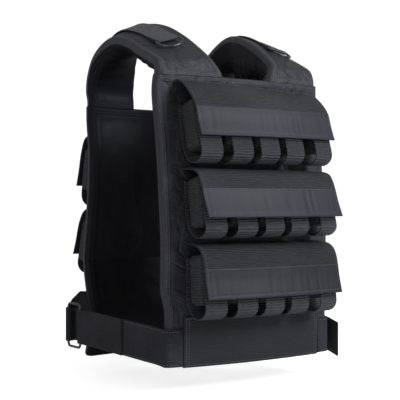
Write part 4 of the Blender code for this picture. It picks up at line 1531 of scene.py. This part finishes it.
# %% [markdown]
# The waist is closed by wide ribbed bands and by straps of fastening tape that run through
# flat metal rings. Their lines are those of the hard model, bent finely round the rods.

# %% Front waistband
def hem_lines(surface):
    """Lines of stitches along a band's upper and lower edges."""
    return level_lines(0.004, surface.u[-1] - 0.004, (0.0035, surface.v[-1] - 0.0035))


half = WAISTBAND_WIDTH / 2
top = FRONT_BOTTOM + WAISTBAND_HEIGHT - WAIST_DROP
rows = [
    [place(FRONT, x, face_reach(FRONT, x, z) + SEAT, z) for x in spread(-half, half, 41)]
    for z in spread(top, top - WAISTBAND_HEIGHT, 14)
]
thing, surface = cloth("front_waistband_woven", rows, WAISTBAND_THICKNESS, 1, [WAIST_CLOTH], pitch=0.0025)
sewn(thing, "front_waistband")
u, v = surface.u[-1], surface.v[-1]
upright = upright_lines(0.003, v - 0.003, (0.005, 0.010, u - 0.005, u - 0.010))
stitches("front_waistband_stitches", surface, upright + hem_lines(surface), THREAD)

# %% [markdown]
# A side strap is worked out in plan first: from under the waistband round the panel's corner,
# and then along the hip to the ring. The points on the hip are shares of the way, so that the
# strap follows when the vest is made wider or deeper.

# %% Side straps' line
def fold_radius():
    """Outer radius of strap folded round a ring's bar."""
    return STRAP_RING_ROD / 2 + FOLD_GAP + STRAP_THICKNESS


def strap_plan():
    """Seat face of the right strap in plan, as (across, back) points with shares of the way."""
    half = WAISTBAND_WIDTH / 2
    high = strap_level(0)
    corner = PANEL_WIDTH / 2
    edge = edge_reach(FRONT, high)
    start = -face_reach(FRONT, half, high) - SEAT
    reach = RING_BACK - STRAP_RING_WIDTH - start
    hip = HIP_HALF_WIDTH - fold_radius()
    plan = [
        (half + SEAT, start, 0.0),
        (corner - PANEL_ROUNDING, -edge - 2 * SEAT, 0.0),
        (corner + 2 * SEAT, PANEL_ROUNDING - edge, 0.0),
    ]
    for point in STRAP_POINTS:
        plan.append((hip * point.out, start + reach * point.back, point.back))
    return plan


def outside(plan, i, distance):
    """A point of a plan, moved square to it and away from the body."""
    before, after = plan[max(i - 1, 0)], plan[min(i + 1, len(plan) - 1)]
    across, back = after[0] - before[0], after[1] - before[1]
    length = math.hypot(across, back)
    x, y, share = plan[i]
    return (x + distance * back / length, y - distance * across / length, share)


def strap_fold(start, end, count):
    """Points round the ring's front bar, from the body's side by the back to the outside."""
    radius = fold_radius()
    bar = RING_BACK - STRAP_RING_WIDTH
    angles = [math.radians(turn) for turn in spread(start, end, count)]
    return [(HIP_HALF_WIDTH + radius * math.cos(a), bar + radius * math.sin(a), 1.0) for a in angles]


def free_tail():
    """The left strap's free end, which droops straight out past the panel's corner.

    A share below nought counts how much of the droop is reached.
    """
    corner = -face_reach(FRONT, PANEL_WIDTH / 2, FRONT_BOTTOM + STRAP_HEIGHT)
    reach = spread(corner + 2 * TAIL_REACH, corner - TAIL_REACH, 3)
    return [(TAIL_OUT, y, -droop) for y, droop in zip(reach, (0.2, 0.6, 1.0))]


print("strap plan", len(strap_plan()), "points")

# %% [markdown]
# A strap is laid in one run: along the plan, round the ring's front bar, and back outside itself
# as far as its tail reaches. The left one has a loose end that droops past the panel's corner.

# %% Side straps
def strap_rows(hand, tail_start, tail_end):
    """A side strap's seat face, from the waistband round the ring's bar to its tail."""
    plan = smooth_path(strap_plan(), 2)
    layers = 2 * STRAP_THICKNESS + SEAT
    tail = [outside(plan, i, layers) for i in range(len(plan) - 2, 0, -1) if plan[i][2] > tail_start]
    line = plan + strap_fold(180, 0, 17)
    line += smooth_path(tail + tail_end, 3)
    columns = []
    for x, y, share in line:
        top = strap_level(share) if share >= 0 else strap_level(0) + share * TAIL_DROOP
        columns.append([(hand * x, y, z) for z in spread(top, top - STRAP_HEIGHT, 3)])
    if hand < 0:
        columns.reverse()
    return [list(row) for row in zip(*columns)]


def waves(u, v):
    """Slight waves along a strap."""
    return 0.0003 * ripples(u, v, 7, 0.03, 0.09, 6, tilt=1.0)


for wing, hand, tail_start, tail_end in (("right", -1, 0.42, []), ("left", 1, 0.18, free_tail())):
    name = "side_strap_" + wing
    rows = strap_rows(hand, tail_start, tail_end)
    thing, surface = cloth(name + "_tape", rows, STRAP_THICKNESS, 1, [LOOP_TAPE], pitch=0.0028, relief=waves)
    sewn(thing, name)
    stitches(name + "_stitches", surface, hem_lines(surface), THREAD)

# %% [markdown]
# The back waistband lies on the panel, narrows past its edges and turns round the rings' rear
# bars. Half of it is worked out and the other half is its mirror image.

# %% Back waistband
def back_band_half():
    """Half of the back waistband in plan: (across, back or None on the panel, narrowing)."""
    radius = STRAP_RING_ROD / 2 + FOLD_GAP
    line = [(share * PANEL_WIDTH / 2, None, 0.0) for share in spread(0.0, 0.98, 30)]
    line.append((0.5 * PANEL_WIDTH + 0.3 * BAND_END, RING_BACK - 0.1 * BAND_END, 0.0))
    line.append((HIP_HALF_WIDTH - 0.5 * BAND_END, RING_BACK + radius, 0.45))
    for turn in spread(90, -90, 17):
        angle = math.radians(turn)
        line.append((HIP_HALF_WIDTH + radius * math.cos(angle), RING_BACK + radius * math.sin(angle), 1.0))
    line.append((HIP_HALF_WIDTH - 0.6 * BAND_END, RING_BACK + radius - 3 * SEAT, 1.0))
    line.append((HIP_HALF_WIDTH - BAND_END, RING_BACK - 0.25 * BAND_END, 1.0))
    return line


half_line = back_band_half()
line = [(-x, back, narrow) for x, back, narrow in reversed(half_line[1:])] + half_line
columns = []
for x, back, narrow in reversed(line):
    top = BACK_BAND_TOP + (strap_level(1.0) - BACK_BAND_TOP) * narrow
    height = BACK_BAND_HEIGHT + (STRAP_HEIGHT - BACK_BAND_HEIGHT) * narrow
    column = []
    for z in spread(top, top - height, 13):
        column.append((x, face_reach(BACK, x, z) + SEAT if back is None else back, z))
    columns.append(column)
rows = [list(row) for row in zip(*columns)]
thing, surface = cloth("back_waistband_woven", rows, STRAP_THICKNESS, 1, [WAIST_CLOTH], pitch=0.0025)
sewn(thing, "back_waistband")
upright = upright_lines(0.004, surface.v[-1] - 0.004, (0.062, 0.068, surface.u[-1] - 0.062, surface.u[-1] - 0.068))
stitches("back_waistband_stitches", surface, hem_lines(surface) + upright, THREAD)
